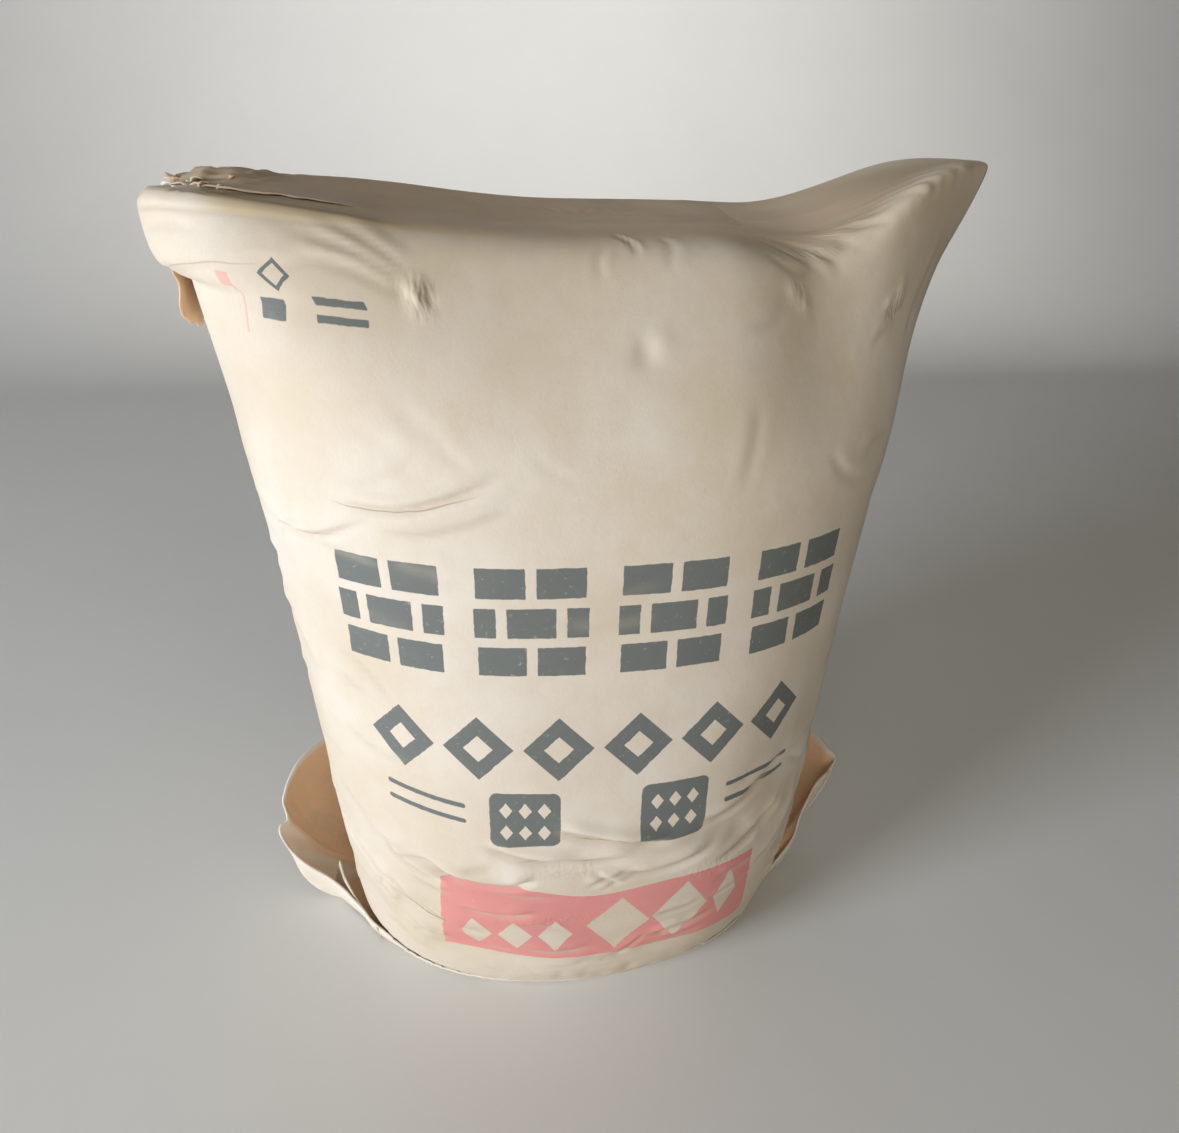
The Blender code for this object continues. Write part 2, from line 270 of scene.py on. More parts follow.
# Torn bits of paper
SCRAP_SHEET = 0.0004
SCRAP_SEED = 7
SCRAP_FACES = (9, 5)
SCRAP_TEAR = (-0.12, 0.12)
SCRAP_BOW = 0.12
SCRAP_ABOVE = 0.006         # how far above the end the nearest skin is looked for
CREAM_SCRAPS = (             # (x, y, length, width in mm, bearing, lean in degrees, curl)
    (-155, 4, 9, 10, 228, -10, 0.1), (-150, -8, 9, 9, 240, -10, 0.1), (-145, -17, 9, 8, 250, -10, 0.1),
    (-138, -24, 8, 7, 262, -8, 0.1),
    (-152, -4, 10, 6, 300, 10, 0.2), (-158, 10, 9, 6, 330, 14, 0.2), (-145, -14, 9, 5, 290, 12, 0.2),
    (-137, -21, 8, 5, 280, 8, 0.2),
)
KRAFT_SCRAPS = (
    (-158, 20, 10, 8, 300, 16, 0.2), (-151, 30, 9, 6, 100, 20, -0.2), (-154, 4, 9, 6, 200, 8, 0.2),
    (-146, -6, 9, 6, 20, 8, 0.2),
)


# Small sums

def mix(low, high, share):
    return low + (high - low) * share


def smooth(start, end, value):
    """0 before start, 1 after end, and an even S between them."""
    share = np.clip((value - start) / (end - start), 0.0, 1.0)
    return share * share * (3.0 - 2.0 * share)


def lobe(offset, before, after):
    """A rounded bump, 1 at offset 0, that reaches 0 at -before and at +after."""
    share = np.where(offset < 0, -offset / before, offset / after)
    return 0.5 + 0.5 * np.cos(np.pi * np.minimum(1.0, share))


def within(stretch, value):
    """1 inside a stretch and 0 outside it, with its two soft ends."""
    return smooth(stretch[0], stretch[1], value) * smooth(stretch[3], stretch[2], value)


def through(stations, value):
    """A smooth curve through (place, size) stations, read at each value."""
    places, sizes = np.array(stations).T
    slopes = np.gradient(sizes, places)
    value = np.clip(value, places[0], places[-1])
    left = np.clip(np.searchsorted(places, value, side="right") - 1, 0, len(places) - 2)
    span = places[left + 1] - places[left]
    t = (value - places[left]) / span
    return (
        sizes[left] * (2 * t**3 - 3 * t**2 + 1)
        + sizes[left + 1] * (3 * t**2 - 2 * t**3)
        + slopes[left] * span * (t**3 - 2 * t**2 + t)
        + slopes[left + 1] * span * (t**3 - t**2)
    )


def ripple(seed, across, along, size):
    """Soft random swell from -1 to 1 over two coordinates, with swells of about one size."""
    waves = random.Random(seed)
    total = 0.0
    for _ in range(7):
        turn = waves.uniform(0.0, 2 * math.pi)
        pitch = 2 * math.pi / (size * waves.uniform(0.7, 1.6))
        phase = waves.uniform(0.0, 2 * math.pi)
        total = total + np.sin(pitch * (across * math.cos(turn) + along * math.sin(turn)) + phase)
    return total / 4.0


def waver(along, depth, seed, size):
    """A ripple along one line."""
    return depth * ripple(seed, along, np.zeros(along.shape), size)


# The filled tube

def body_half_size(height):
    """Half width and half depth of the tube above its foot."""
    width = through(WIDTH_AT, height)
    rise = np.clip((height - CHEST_HEIGHT) / (END_HEIGHT - CHEST_HEIGHT), 0.0, 1.0)
    closing = mix(END_DEPTH, CHEST_DEPTH, np.cos(rise * np.pi / 2))
    depth = np.where(height < CHEST_HEIGHT, through(DEPTH_AT, height), closing)
    return width / 2, depth / 2


def ear_reach(height, side):
    """How far an ear stands out of the body's side."""
    half_width = WIDTH_AT[-1][1] / 2
    if side > 0:
        flare = smooth(END_HEIGHT - RIGHT_EAR_DROP, END_HEIGHT, height)
        return (RIGHT_EAR_REACH - half_width) * flare
    off_lip = min(1.0, abs(height - END_HEIGHT + LEFT_LIP_DROP) / LEFT_LIP_HALF_HEIGHT)
    lip = math.sqrt(1.0 - off_lip**LEFT_LIP_SQUARENESS)
    return (LEFT_EAR_REACH - half_width) * lip


def end_lift(x, y, height):
    """The ears lift the top end: up to a point on the right, in a low crest on the left."""
    fade = smooth(END_HEIGHT - EAR_LIFT_DROP, END_HEIGHT, height)
    right = RIGHT_EAR_LIFT * smooth(RIGHT_EAR_ROOT, RIGHT_EAR_CREST, x)
    left = LEFT_EAR_LIFT * lobe(x + LEFT_EAR_CREST, LEFT_EAR_END_SPREAD, LEFT_EAR_CREST)
    in_front = np.maximum(0.0, -y) / (END_DEPTH / 2)
    dip = lobe(x - RIGHT_EAR_DIP_PLACE, RIGHT_EAR_DIP_SPREAD, RIGHT_EAR_DIP_SPREAD)
    return fade * (right + left - RIGHT_EAR_DIP * dip * in_front)


def wall_heights():
    """Heights of the wall's rings, closer where the paper has fine folds."""
    fine = np.linspace(FOOT_HEIGHT, END_HEIGHT, FINE_STEPS)
    places, closeness = np.array(WALL_CLOSENESS).T
    gone = np.concatenate(([0.0], np.cumsum(np.interp(fine[1:], places, closeness))))
    return np.interp(np.linspace(0.0, gone[-1], WALL_RINGS + 1)[1:], gone, fine)


def ring_stations():
    """(height, foot, inward) of each ring, from beside the floor's middle to beside the top's.

    foot goes from 0 on the floor patch to 1 where the foot meets the wall.
    """
    stations = []
    for ring in range(1, FLOOR_RINGS + 1):
        stations.append((FLOOR_GAP, 0.0, ring / FLOOR_RINGS))
    for ring in range(1, FOOT_RINGS + 1):
        swing = ring / FOOT_RINGS * math.pi / 2
        height = mix(FLOOR_GAP, FOOT_HEIGHT, 1.0 - math.cos(swing))
        stations.append((height, math.sin(swing), 1.0))
    for height in wall_heights():
        stations.append((height, 1.0, 1.0))
    for ring in range(1, END_RINGS):
        stations.append((END_HEIGHT, 1.0, 1.0 - ring / END_RINGS))
    return stations


def quarter_outline(height, foot, side, face):
    """Plan of a quarter of a ring, from its middle line out to the side: many close points."""
    half_width, half_depth = body_half_size(max(height, FOOT_HEIGHT))
    half_width = mix(FLOOR_WIDTH / 2, half_width, foot)
    half_depth = mix(FLOOR_DEPTH / 2, half_depth, foot)
    towards_end = smooth(END_HEIGHT - SHARPEN_DROP, END_HEIGHT, height)
    corner = LEFT_END_CORNER if side < 0 else RIGHT_FRONT_CORNER if face < 0 else RIGHT_BACK_CORNER
    body = BODY_CORNER
    if face < 0:
        heights, *sizes = FRONT_FOOT_CORNERS[side]
        body = [np.interp(height, heights, size) for size in sizes]
    squareness, sharpness = mix(np.array(body), np.array(corner), towards_end)
    across = np.sin(np.linspace(0.0, np.pi / 2, OUTLINE_POINTS))
    x = side * across * (half_width + ear_reach(height, side))
    y = face * half_depth * np.maximum(0.0, 1.0 - across**squareness) ** sharpness
    return x, y


def spread_evenly(x, y, count):
    """count + 1 points at even distances along an outline."""
    steps = np.hypot(np.diff(x), np.diff(y))
    gone = np.concatenate(([0.0], np.cumsum(steps)))
    wanted = np.linspace(0.0, gone[-1], count + 1)
    return np.interp(wanted, gone, x), np.interp(wanted, gone, y)


def ring_points(height, foot, inward):
    """One ring, from the middle of the back by the left side and the front to the back again."""
    xs, ys = [], []
    for side, face, outward in ((-1, 1, True), (-1, -1, False), (1, -1, True), (1, 1, False)):
        count = FRONT_COLUMNS if face < 0 else BACK_COLUMNS
        x, y = spread_evenly(*quarter_outline(height, foot, side, face), count)
        order = slice(None, -1) if outward else slice(None, 0, -1)
        xs.append(x[order])
        ys.append(y[order])
    x = np.concatenate(xs) * inward
    y = np.concatenate(ys) * inward
    sag = END_SAG * (1.0 - inward**2) if height >= END_HEIGHT else 0.0
    return np.stack([x, y, height - sag + end_lift(x, y, height)], axis=1)


def paper_round():
    """Paper coordinate round the tube of each column, from -0.4 at the back by 0 in front."""
    back = np.arange(BACK_COLUMNS) / BACK_COLUMNS
    front = np.arange(FRONT_COLUMNS) / FRONT_COLUMNS
    return QUARTER * np.concatenate([back - 2.0, front - 1.0, front, back + 1.0])


def sack_grid():
    """Places of the skin's rings and columns, and the paper coordinates that go with them."""
    stations = ring_stations()
    places = np.array([ring_points(*station) for station in stations])
    around = np.tile(paper_round(), (len(stations), 1))
    heights = []
    for height, foot, inward in stations:
        below = -FLOOR_DEPTH / 2 * (1.0 - inward) if foot == 0.0 else 0.0
        above = END_DEPTH / 2 * (1.0 - inward) if foot == 1.0 else 0.0
        heights.append(height + below + above)
    up = np.tile(np.array(heights)[:, None], (1, around.shape[1]))
    return places, around, up


def relax(places, strength, times):
    """Rounds the skin off from ring to ring, by a strength from 0 to 1 at each place."""
    for _ in range(times):
        middle = (places[:-2] + places[2:]) / 2
        places[1:-1] += strength[1:-1, :, None] * (middle - places[1:-1])
    return places


def soften_edges(places, around):
    """Rounds off the end's edge: crisp at the left front, tight on the horn, soft in the middle."""
    ring = np.arange(places.shape[0])[:, None]
    firm = CRISP_FIRMNESS * within(CRISP_EDGE, around) + HORN_FIRMNESS * within(HORN_EDGE, around)
    firm = firm + BACK_FIRMNESS * smooth(*BACK_EDGE, np.abs(around))
    softness = np.clip(1.0 - firm, LEAST_SOFTNESS, 1.0)
    return relax(places, lobe(ring - END_RING, *EDGE_RINGS) * softness, EDGE_PASSES)


def outward(places):
    """Unit normals of the skin at each place, pointing out of the sack."""
    along = np.roll(places, -1, axis=1) - np.roll(places, 1, axis=1)
    rise = np.gradient(places, axis=0)
    normals = np.cross(along, rise)
    return normals / np.maximum(np.linalg.norm(normals, axis=2, keepdims=True), 1e-12)


# Folds: depth, half width, shoulder to the left of the way the points run, and (round, up) points, all in mm

WAIST_FOLDS = (
    (2.4, 1.4, 1.5, (
        (-174, 304), (-158, 299), (-145, 293), (-130, 291), (-115, 294), (-101, 300), (-88, 306),
    )),
    (2.0, 1.4, 1.3, ((-106, 311), (-92, 310), (-78, 310.5), (-64, 314.5), (-50, 319.5), (-36, 325))),
    (0.3, 2.4, 0.2, ((-108, 316), (-92, 319), (-76, 326), (-66, 335))),
    (0.8, 2.0, 0.4, ((-90, 302), (-70, 302), (-48, 308), (-30, 316))),
)
STRIP_FOLDS = (
    (0.8, 1.5, 0.6, ((-112, 397), (-94, 394), (-80, 390), (-69, 385))),
    (0.7, 1.4, 0.6, ((-104, 401), (-89, 398), (-76, 393), (-66, 388))),
    (0.7, 1.5, 0.5, ((-108, 389), (-92, 388), (-80, 385), (-71, 381))),
    (0.4, 1.5, 0.3, ((-168, 392), (-150, 394), (-134, 393))),
)
TOP_EDGE_FOLDS = (
    (0.9, 1.2, 0.5, ((9, 416), (12, 410), (15, 404), (16, 396))),
    (0.3, 1.6, 0.2, ((4, 404), (0, 396), (2, 387))),
    (0.3, 2.2, 0.2, ((30, 412), (31, 402), (26, 392))),
)
HORN_FOLDS = (
    (0.4, 1.6, 0.3, ((72, 402), (82, 398), (92, 399), (99, 404))),
    (0.5, 1.6, 0.4, ((97, 406), (107, 402), (117, 404), (124, 410))),
    (0.4, 1.8, 0.4, ((118, 411), (130, 407), (142, 409), (153, 414))),
    (0.7, 1.5, 0.6, ((128, 370), (136, 367), (143, 365), (152, 367))),
    (0.4, 2.0, 0.3, ((124, 361), (134, 362), (146, 359))),
    (0.4, 2.6, 0.3, ((150, 346), (158, 358), (170, 368), (182, 380))),
)
FOOT_FOLDS = (
    (3.4, 2.4, 3.2, ((-84, 126), (-70, 121), (-54, 118), (-38, 118), (-26, 122))),
    (2.9, 2.6, 2.2, ((-112, 132), (-98, 122), (-86, 116), (-72, 112))),
    (3.0, 2.6, 2.2, ((-112, 99), (-100, 88), (-86, 79), (-72, 72), (-56, 68))),
    (2.5, 2.5, 2.0, ((-150, 118), (-134, 104), (-118, 95), (-104, 92))),
    (2.4, 2.3, 1.8, ((-130, 76), (-112, 66), (-94, 58), (-78, 51))),
    (1.7, 2.6, 1.8, ((-56, 146), (-40, 139), (-24, 136), (-6, 136))),
    (2.0, 2.2, 2.4, ((-24, 156), (-10, 152), (6, 147), (24, 143), (38, 142))),
    (1.6, 2.8, 1.4, ((6, 126), (26, 121), (46, 124), (66, 132))),
    (1.5, 2.2, 1.3, ((-42, 138), (-22, 135), (0, 134), (22, 135))),
    (1.3, 2.6, 1.0, ((46, 148), (66, 150), (86, 160), (104, 174))),
    (1.7, 2.4, 1.3, ((60, 116), (80, 120), (98, 130), (112, 144))),
    (1.5, 2.4, 1.1, ((92, 92), (108, 102), (122, 120), (130, 142))),
    (1.4, 2.2, 1.0, ((108, 58), (122, 70), (136, 90), (144, 114))),
    (1.2, 2.2, 0.8, ((30, 58), (52, 62), (74, 70))),
    (1.1, 2.0, 0.8, ((-40, 58), (-20, 54), (4, 56))),
    (1.9, 2.3, 1.4, ((-70, 94), (-48, 90), (-26, 92))),
    (0.9, 1.8, 0.8, ((-2, 126), (6, 119), (14, 113))),
    (0.9, 1.8, 0.8, ((-4, 114), (6, 119), (18, 124))),
)
SIDE_FOLDS = (
    (1.0, 3.2, 0.8, ((-206, 246), (-186, 238), (-168, 236), (-150, 240))),
    (0.9, 2.8, 0.7, ((-206, 268), (-188, 262), (-172, 262), (-160, 268))),
    (1.0, 2.8, 0.7, ((-200, 208), (-184, 202), (-168, 200), (-154, 206))),
    (1.1, 3.2, 0.8, ((196, 262), (182, 252), (168, 248), (156, 252))),
    (1.0, 2.8, 0.7, ((204, 226), (188, 218), (172, 216), (160, 222))),
    (1.1, 3.0, 0.8, ((200, 186), (186, 178), (172, 176), (158, 182))),
    (1.0, 3.0, 0.7, ((210, 318), (196, 306), (180, 300), (166, 306))),
    (1.2, 3.4, 0.9, ((-240, 330), (-216, 318), (-194, 314), (-180, 318))),
)
BACK_FOLDS = (
    (2.0, 3.2, 1.5, ((-390, 296), (-360, 302), (-330, 299), (-300, 306))),
    (1.8, 3.4, 1.4, ((-330, 148), (-304, 138), (-280, 134), (-252, 138))),
    (2.1, 3.2, 1.6, ((250, 120), (278, 112), (304, 114), (334, 124))),
    (1.7, 3.0, 1.2, ((300, 282), (322, 276), (350, 280), (376, 290))),
    (2.0, 3.2, 1.5, ((-380, 96), (-352, 88), (-322, 90), (-296, 100))),
    (1.8, 3.0, 1.2, ((260, 372), (276, 360), (290, 344))),
    (1.6, 3.0, 1.2, ((-270, 380), (-284, 366), (-296, 350))),
)
FOLD_GROUPS = (WAIST_FOLDS, STRIP_FOLDS, TOP_EDGE_FOLDS, HORN_FOLDS, FOOT_FOLDS, SIDE_FOLDS, BACK_FOLDS)

# Painted shadow lines of creases: round, up and half length in mm, slope, bend and half width in mm, and
# darkness
CREASE_LINES = (
    (-116, 403.2, 52, 0.00, 0.0, 0.60, 0.75), (-142, 383.2, 32, 0.11, 0.0, 0.45, 0.35),
    (-130, 291.6, 32, 0.02, 9.0, 0.55, 0.66), (-77, 310.2, 36, 0.13, 6.0, 0.50, 0.66),
    (-54, 117.0, 28, -0.06, 4.5, 0.60, 0.62), (6, 146.5, 24, -0.22, 1.4, 0.55, 0.62),
    (-12, 134.5, 34, -0.02, 1.0, 0.45, 0.62), (-92, 78.0, 26, -0.45, 3.0, 0.55, 0.62),
    (-128, 101.0, 18, -0.60, 3.0, 0.50, 0.62), (84, 122.0, 28, 0.42, 4.0, 0.50, 0.62),
    (118, 108.0, 14, 1.10, 2.0, 0.50, 0.62),
)

# Spots with fine wrinkles: round, up, half width and half height in mm, and the wrinkles' height in mm
WRINKLED_SPOTS = (
    (-65, 381, 8, 9, 1.2), (84, 390, 7, 6, 0.5), (139, 368, 9, 7, 0.9), (97, 405, 32, 5, 0.6),
    (135, 411, 36, 5, 0.7), (-164, 408, 26, 8, 1.5), (-118, 84, 12, 9, 0.9), (-150, 384, 11, 6, 0.9),
    (-14, 128, 34, 8, 0.55), (62, 112, 30, 9, 0.55), (-20, 86, 60, 9, 0.35),
)

# Dents: (round, up, depth, half width) in mm; a depth below 0 is a bump
DENTS = (
    (17, 366, 1.1, 5.0), (23, 370, -0.5, 4.6), (81, 391, -0.6, 2.4), (87, 387, -0.5, 2.2),
    (-70, 382, 1.0, 2.4), (-65, 382, -1.6, 3.2), (-60, 380, 0.8, 2.0),
    (-118, 86, 2.6, 3.6), (-111, 80, -1.6, 3.0), (139, 368, 0.9, 3.4), (143, 372, -0.6, 2.6),
    (-150, 268, 1.4, 13.0), (-158, 318, -1.2, 12.0),
    (118, 190, 0.9, 12.0), (150, 290, 1.0, 14.0), (-36, 132, -1.0, 8.0), (12, 146, -1.0, 9.0),
    (-250, 220, 2.6, 24.0), (310, 200, 2.8, 26.0), (-340, 240, -2.0, 28.0), (240, 300, 2.0, 18.0),
    (-300, 60, 2.0, 16.0), (360, 70, 1.8, 18.0), (-200, 150, -1.6, 16.0), (220, 140, -1.6, 18.0),
)

# Where stray folds lie: (number, round from, to, up from, to, slant in degrees, depth, half width)
STRAY_FOLDS = (
    (34, -195, 195, 26, 128, 14, 0.75, 2.0),
    (16, -190, -100, 130, 300, 12, 0.40, 2.2),
    (16, 110, 200, 130, 330, -14, 0.45, 2.4),
    (12, -90, 90, 250, 395, 30, 0.22, 3.0),
    (14, 200, 390, 20, 150, 10, 0.7, 2.8),
    (14, -390, -200, 20, 150, -10, 0.7, 2.8),
    (8, 205, 390, 150, 400, 28, 0.5, 4.0),
    (8, -390, -205, 150, 400, -28, 0.5, 4.0),
)
STRAY_SEED = 25
STRAY_LENGTH = (16, 46)     # in mm
STRAY_TURN = 22             # how far their slant varies, in degrees
STRAY_BEND = (-0.18, 0.18)
STRAY_SIZE = (0.5, 1.3)
STRAY_WIDTH = (0.7, 1.3)
STRAY_SHOULDER = 0.7
STRAY_SHARES = (-0.5, -0.17, 0.17, 0.5)

# Section of a fold, in half widths of it, and how it fades out at both ends
FOLD_REACH = 5
SHOULDER_AWAY = 2.1
SHOULDER_WIDTH = 1.5
FAR_SHOULDER = 0.25         # height of the shoulder on the other side, as a share
SHARP_WIDTH = 0.8
SHARP_DEPTH = 0.0012        # folds this deep or deeper are marked in full
FOLD_FADE = 0.3


def curve_through(points, steps=5):
    """Places along a smooth curve through the points of a fold."""
    points = np.array(points, dtype=float) / 1000.0
    along = np.arange(len(points))
    fine = np.linspace(0, len(points) - 1, (len(points) - 1) * steps + 1)
    columns = [through(np.stack([along, points[:, axis]], axis=1), fine) for axis in (0, 1)]
    return np.stack(columns, axis=1)


def press_fold(lift, fold, around, up, shape):
    """Adds one fold to the lift of the paper and to its record of folds."""
    depth, half_width, shoulder, points = shape
    depth, half_width, shoulder = depth / 1000, half_width / 1000, shoulder / 1000
    path = curve_through(points)
    margin = FOLD_REACH * half_width
    low, high = path.min(axis=0) - margin, path.max(axis=0) + margin
    near = (around > low[0]) & (around < high[0]) & (up > low[1]) & (up < high[1])
    spots = np.stack([around[near], up[near]], axis=1)
    away = np.full(len(spots), np.inf)
    share = np.zeros(len(spots))
    side = np.ones(len(spots))
    for number, (start, end) in enumerate(zip(path[:-1], path[1:])):
        run = end - start
        offset = spots - start
        t = np.clip((offset @ run) / (run @ run), 0.0, 1.0)
        distance = np.linalg.norm(offset - t[:, None] * run, axis=1)
        closer = distance < away
        away[closer] = distance[closer]
        share[closer] = (number + t[closer]) / (len(path) - 1)
        side[closer] = np.sign(run[0] * offset[closer, 1] - run[1] * offset[closer, 0])
    fade = smooth(0.0, FOLD_FADE, share) * smooth(1.0, 1.0 - FOLD_FADE, share)
    away = away / half_width
    valley = np.exp(-away**2)
    above = np.where(side > 0, 1.0, FAR_SHOULDER) * np.exp(-((away - SHOULDER_AWAY) / SHOULDER_WIDTH) ** 2)
    lift[near] += fade * (shoulder * above - depth * valley)
    sharp = np.exp(-(away / SHARP_WIDTH) ** 2) * fade * min(1.0, depth / SHARP_DEPTH)
    fold[near] = np.maximum(fold[near], sharp)


def press_dent(lift, around, up, place_round, place_up, depth, half_width):
    away = np.hypot(around - place_round / 1000, up - place_up / 1000) / (half_width / 1000)
    lift -= depth / 1000 * np.exp(-away**2)


def stray_folds():
    """Small folds scattered by a fixed seed over the areas that have them."""
    rng = random.Random(STRAY_SEED)
    for number, round_from, round_to, up_from, up_to, slant, depth, half_width in STRAY_FOLDS:
        for _ in range(number):
            middle = (rng.uniform(round_from, round_to), rng.uniform(up_from, up_to))
            length = rng.uniform(*STRAY_LENGTH)
            turn = math.radians(rng.gauss(slant if middle[0] > 0 else -slant, STRAY_TURN))
            bend = rng.uniform(*STRAY_BEND) * length
            points = []
            for share in STRAY_SHARES:
                along, off = share * length, bend * (1.0 - 4 * share * share)
                points.append((
                    middle[0] + along * math.cos(turn) - off * math.sin(turn),
                    middle[1] + along * math.sin(turn) + off * math.cos(turn),
                ))
            size = rng.uniform(*STRAY_SIZE)
            width = half_width * rng.uniform(*STRAY_WIDTH)
            yield depth * size, width, depth * size * STRAY_SHOULDER, tuple(points)


def strip_and_bead(lift, around, up):
    """Lifts the fold-over strip and the bead along the end's edge; returns where the painted shadow line
    below the bead lies.
    """
    on_paper = up <= END_HEIGHT + EDGE_MARGIN
    above_line = smooth(*STRIP_EDGE, up - through(STRIP_LINE, around))
    lift += STRIP_STEP * above_line * within(STRIP_STRETCH, around) * on_paper
    along_bead = within(BEAD_STRETCH, around)
    above_foot = up - END_HEIGHT + BEAD_HEIGHT
    lift += BEAD_STEP * smooth(*BEAD_EDGE, above_foot) * along_bead * on_paper
    return along_bead * lobe(above_foot + BEAD_SHADOW_DROP, *BEAD_SHADOW)


def crinkle_edges(lift, around, up):
    """Fine crinkles along the edges that are not drawn taut."""
    for stretch, height, reach, depth, coarse, fine in CRINKLED_EDGES:
        seed, stretch_round, stretch_up, size = coarse
        crinkles = ripple(seed, around * stretch_round, up * stretch_up, size)
        crinkles = crinkles + FINE_CRINKLES * ripple(fine[0], around, up, fine[1])
        lift += depth * within(stretch, around) * lobe(up - height, *reach) * crinkles


def fold_paper(places, around, up):
    """Presses all folds and dents into the skin, and returns how sharply it is folded at each place, with the
    painted shadow line below the bead.
    """
    lift = np.zeros(around.shape)
    fold = np.zeros(around.shape)
    for shape in (*itertools.chain(*FOLD_GROUPS), *stray_folds()):
        press_fold(lift, fold, around, up, shape)
    for dent in DENTS:
        press_dent(lift, around, up, *dent)
    crinkle_edges(lift, around, up)
    # painted shadow line under the bead, carried in the fold mark
    gap = strip_and_bead(lift, around, up)
    seam = smooth(*SEAM_EDGE, around) * smooth(END_HEIGHT, END_HEIGHT - SEAM_FADE, up)
    lift += SEAM_STEP * seam
    free = smooth(FLOOR_GAP, FREE_HEIGHT, places[:, :, 2])
    places += outward(places) * (lift * free)[:, :, None]
    return np.maximum(fold * free, gap)


def wrinkle_heights(around, up):
    """How high the finest wrinkles stand at each place, in metres."""
    high = np.zeros(around.shape)
    for middle_round, middle_up, half_round, half_up, height in WRINKLED_SPOTS:
        away = np.hypot((around * 1000 - middle_round) / half_round, (up * 1000 - middle_up) / half_up)
        high = np.maximum(high, np.clip(1.0 - away, 0.0, 1.0) * height / 1000)
    return high


def hold_cloth(piece, grip):
    """Holds each point of a piece of cloth by its grip, which goes from 0 to 1 in even steps."""
    held = piece.vertex_groups.new(name="held")
    for step in range(1, GRIP_STEPS + 1):
        members = np.flatnonzero(np.rint(grip * GRIP_STEPS) == step)
        if len(members):
            held.add(members.tolist(), step / GRIP_STEPS, "REPLACE")


def settled_cloth(piece):
    """Where the points of a piece come to rest as cloth over its filling."""
    cloth = piece.modifiers.new("cloth", "CLOTH")
    for setting, value in CLOTH_SETTINGS.items():
        setattr(cloth.settings, setting, value)
    cloth.settings.vertex_group_mass = "held"
    cloth.settings.effector_weights.gravity = 0.0
    cloth.collision_settings.use_collision = False
    cloth.collision_settings.use_self_collision = False
    cloth.point_cache.frame_start = 1
    cloth.point_cache.frame_end = CLOTH_FRAMES
    scene = bpy.context.scene
    for number in range(1, CLOTH_FRAMES + 1):
        scene.frame_set(number)
    settled = piece.evaluated_get(bpy.context.evaluated_depsgraph_get()).to_mesh()
    found = np.empty(len(settled.vertices) * 3)
    settled.vertices.foreach_get("co", found)
    scene.frame_set(1)
    return found.reshape(-1, 3)


def paper_buckles(places, around, up):
    """How far the paper buckles over its filling, simulated as cloth on a coarse skin."""
    rings = slice(COARSER - 1, None, COARSER)
    columns = slice(None, None, COARSER)
    start = places[rings, columns]
    coarse = skin_object("buckling", start, around[rings, columns], up[rings, columns], {})
    spots = np.empty(len(coarse.data.vertices), dtype=np.int32)
    coarse.data.attributes["spot"].data.foreach_get("value", spots)
    ring, column = np.divmod(spots, start.shape[1] + 1)
    level = np.clip(ring - 1, 0, start.shape[0] - 1)
    column = column % start.shape[1]
    end = (END_RING - COARSER + 1) // COARSER
    grip = np.maximum(smooth(*HELD_FOOT, start[level, column, 2]), lobe(level - end, *HELD_RINGS))
    hold_cloth(coarse, np.maximum(grip, LEAST_GRIP))
    found = settled_cloth(coarse)
    bpy.data.objects.remove(coarse)
    inside = (ring > 0) & (ring <= start.shape[0])
    level, column = level[inside], column[inside]
    moved = np.zeros(start.shape)
    moved[level, column] = found[inside] - start[level, column]
    size = np.linalg.norm(moved, axis=2, keepdims=True)
    moved *= BUCKLE_LIMIT * np.tanh(size / BUCKLE_LIMIT) / np.maximum(size, 1e-9)
    return calmed(finer(moved, places.shape), places, around, up)


def calmed(moved, places, around, up):
    """Buckles without each ring's even swell, weaker on the taut front and none at the end's middle."""
    normals = outward(places)
    swell = (moved * normals).sum(axis=2).mean(axis=1)
    in_front = smooth(*CALM_SIDES, np.abs(around))
    calm = 1.0 - CALM_FRONT * in_front * smooth(*CALM_CHEST, up)
    calm *= 1.0 - CALM_LOW_FRONT * in_front * smooth(*CALM_BELLY, up)
    last = places.shape[0] - 1
    calm *= smooth(last, last - CALM_END_RINGS, np.arange(last + 1))[:, None]
    return (moved - normals * swell[:, None, None]) * calm[:, :, None]


def finer(moved, shape):
    """Spreads values of the coarse skin over the fine one."""
    ring = (np.arange(shape[0]) - COARSER + 1) / COARSER
    known = np.arange(moved.shape[0])
    turn = np.arange(shape[1]) / COARSER
    closed = np.concatenate([moved, moved[:, :1]], axis=1)
    around = np.arange(closed.shape[1])
    fine = np.empty(shape)
    for axis in range(3):
        rows = np.array([np.interp(turn, around, row) for row in closed[:, :, axis]])
        fine[:, :, axis] = np.array([np.interp(ring, known, line) for line in rows.T]).T
    for _ in range(2):
        fine = (np.roll(fine, 1, axis=1) + 2 * fine + np.roll(fine, -1, axis=1)) / 4
        fine[1:-1] = (fine[:-2] + 2 * fine[1:-1] + fine[2:]) / 4
    return fine


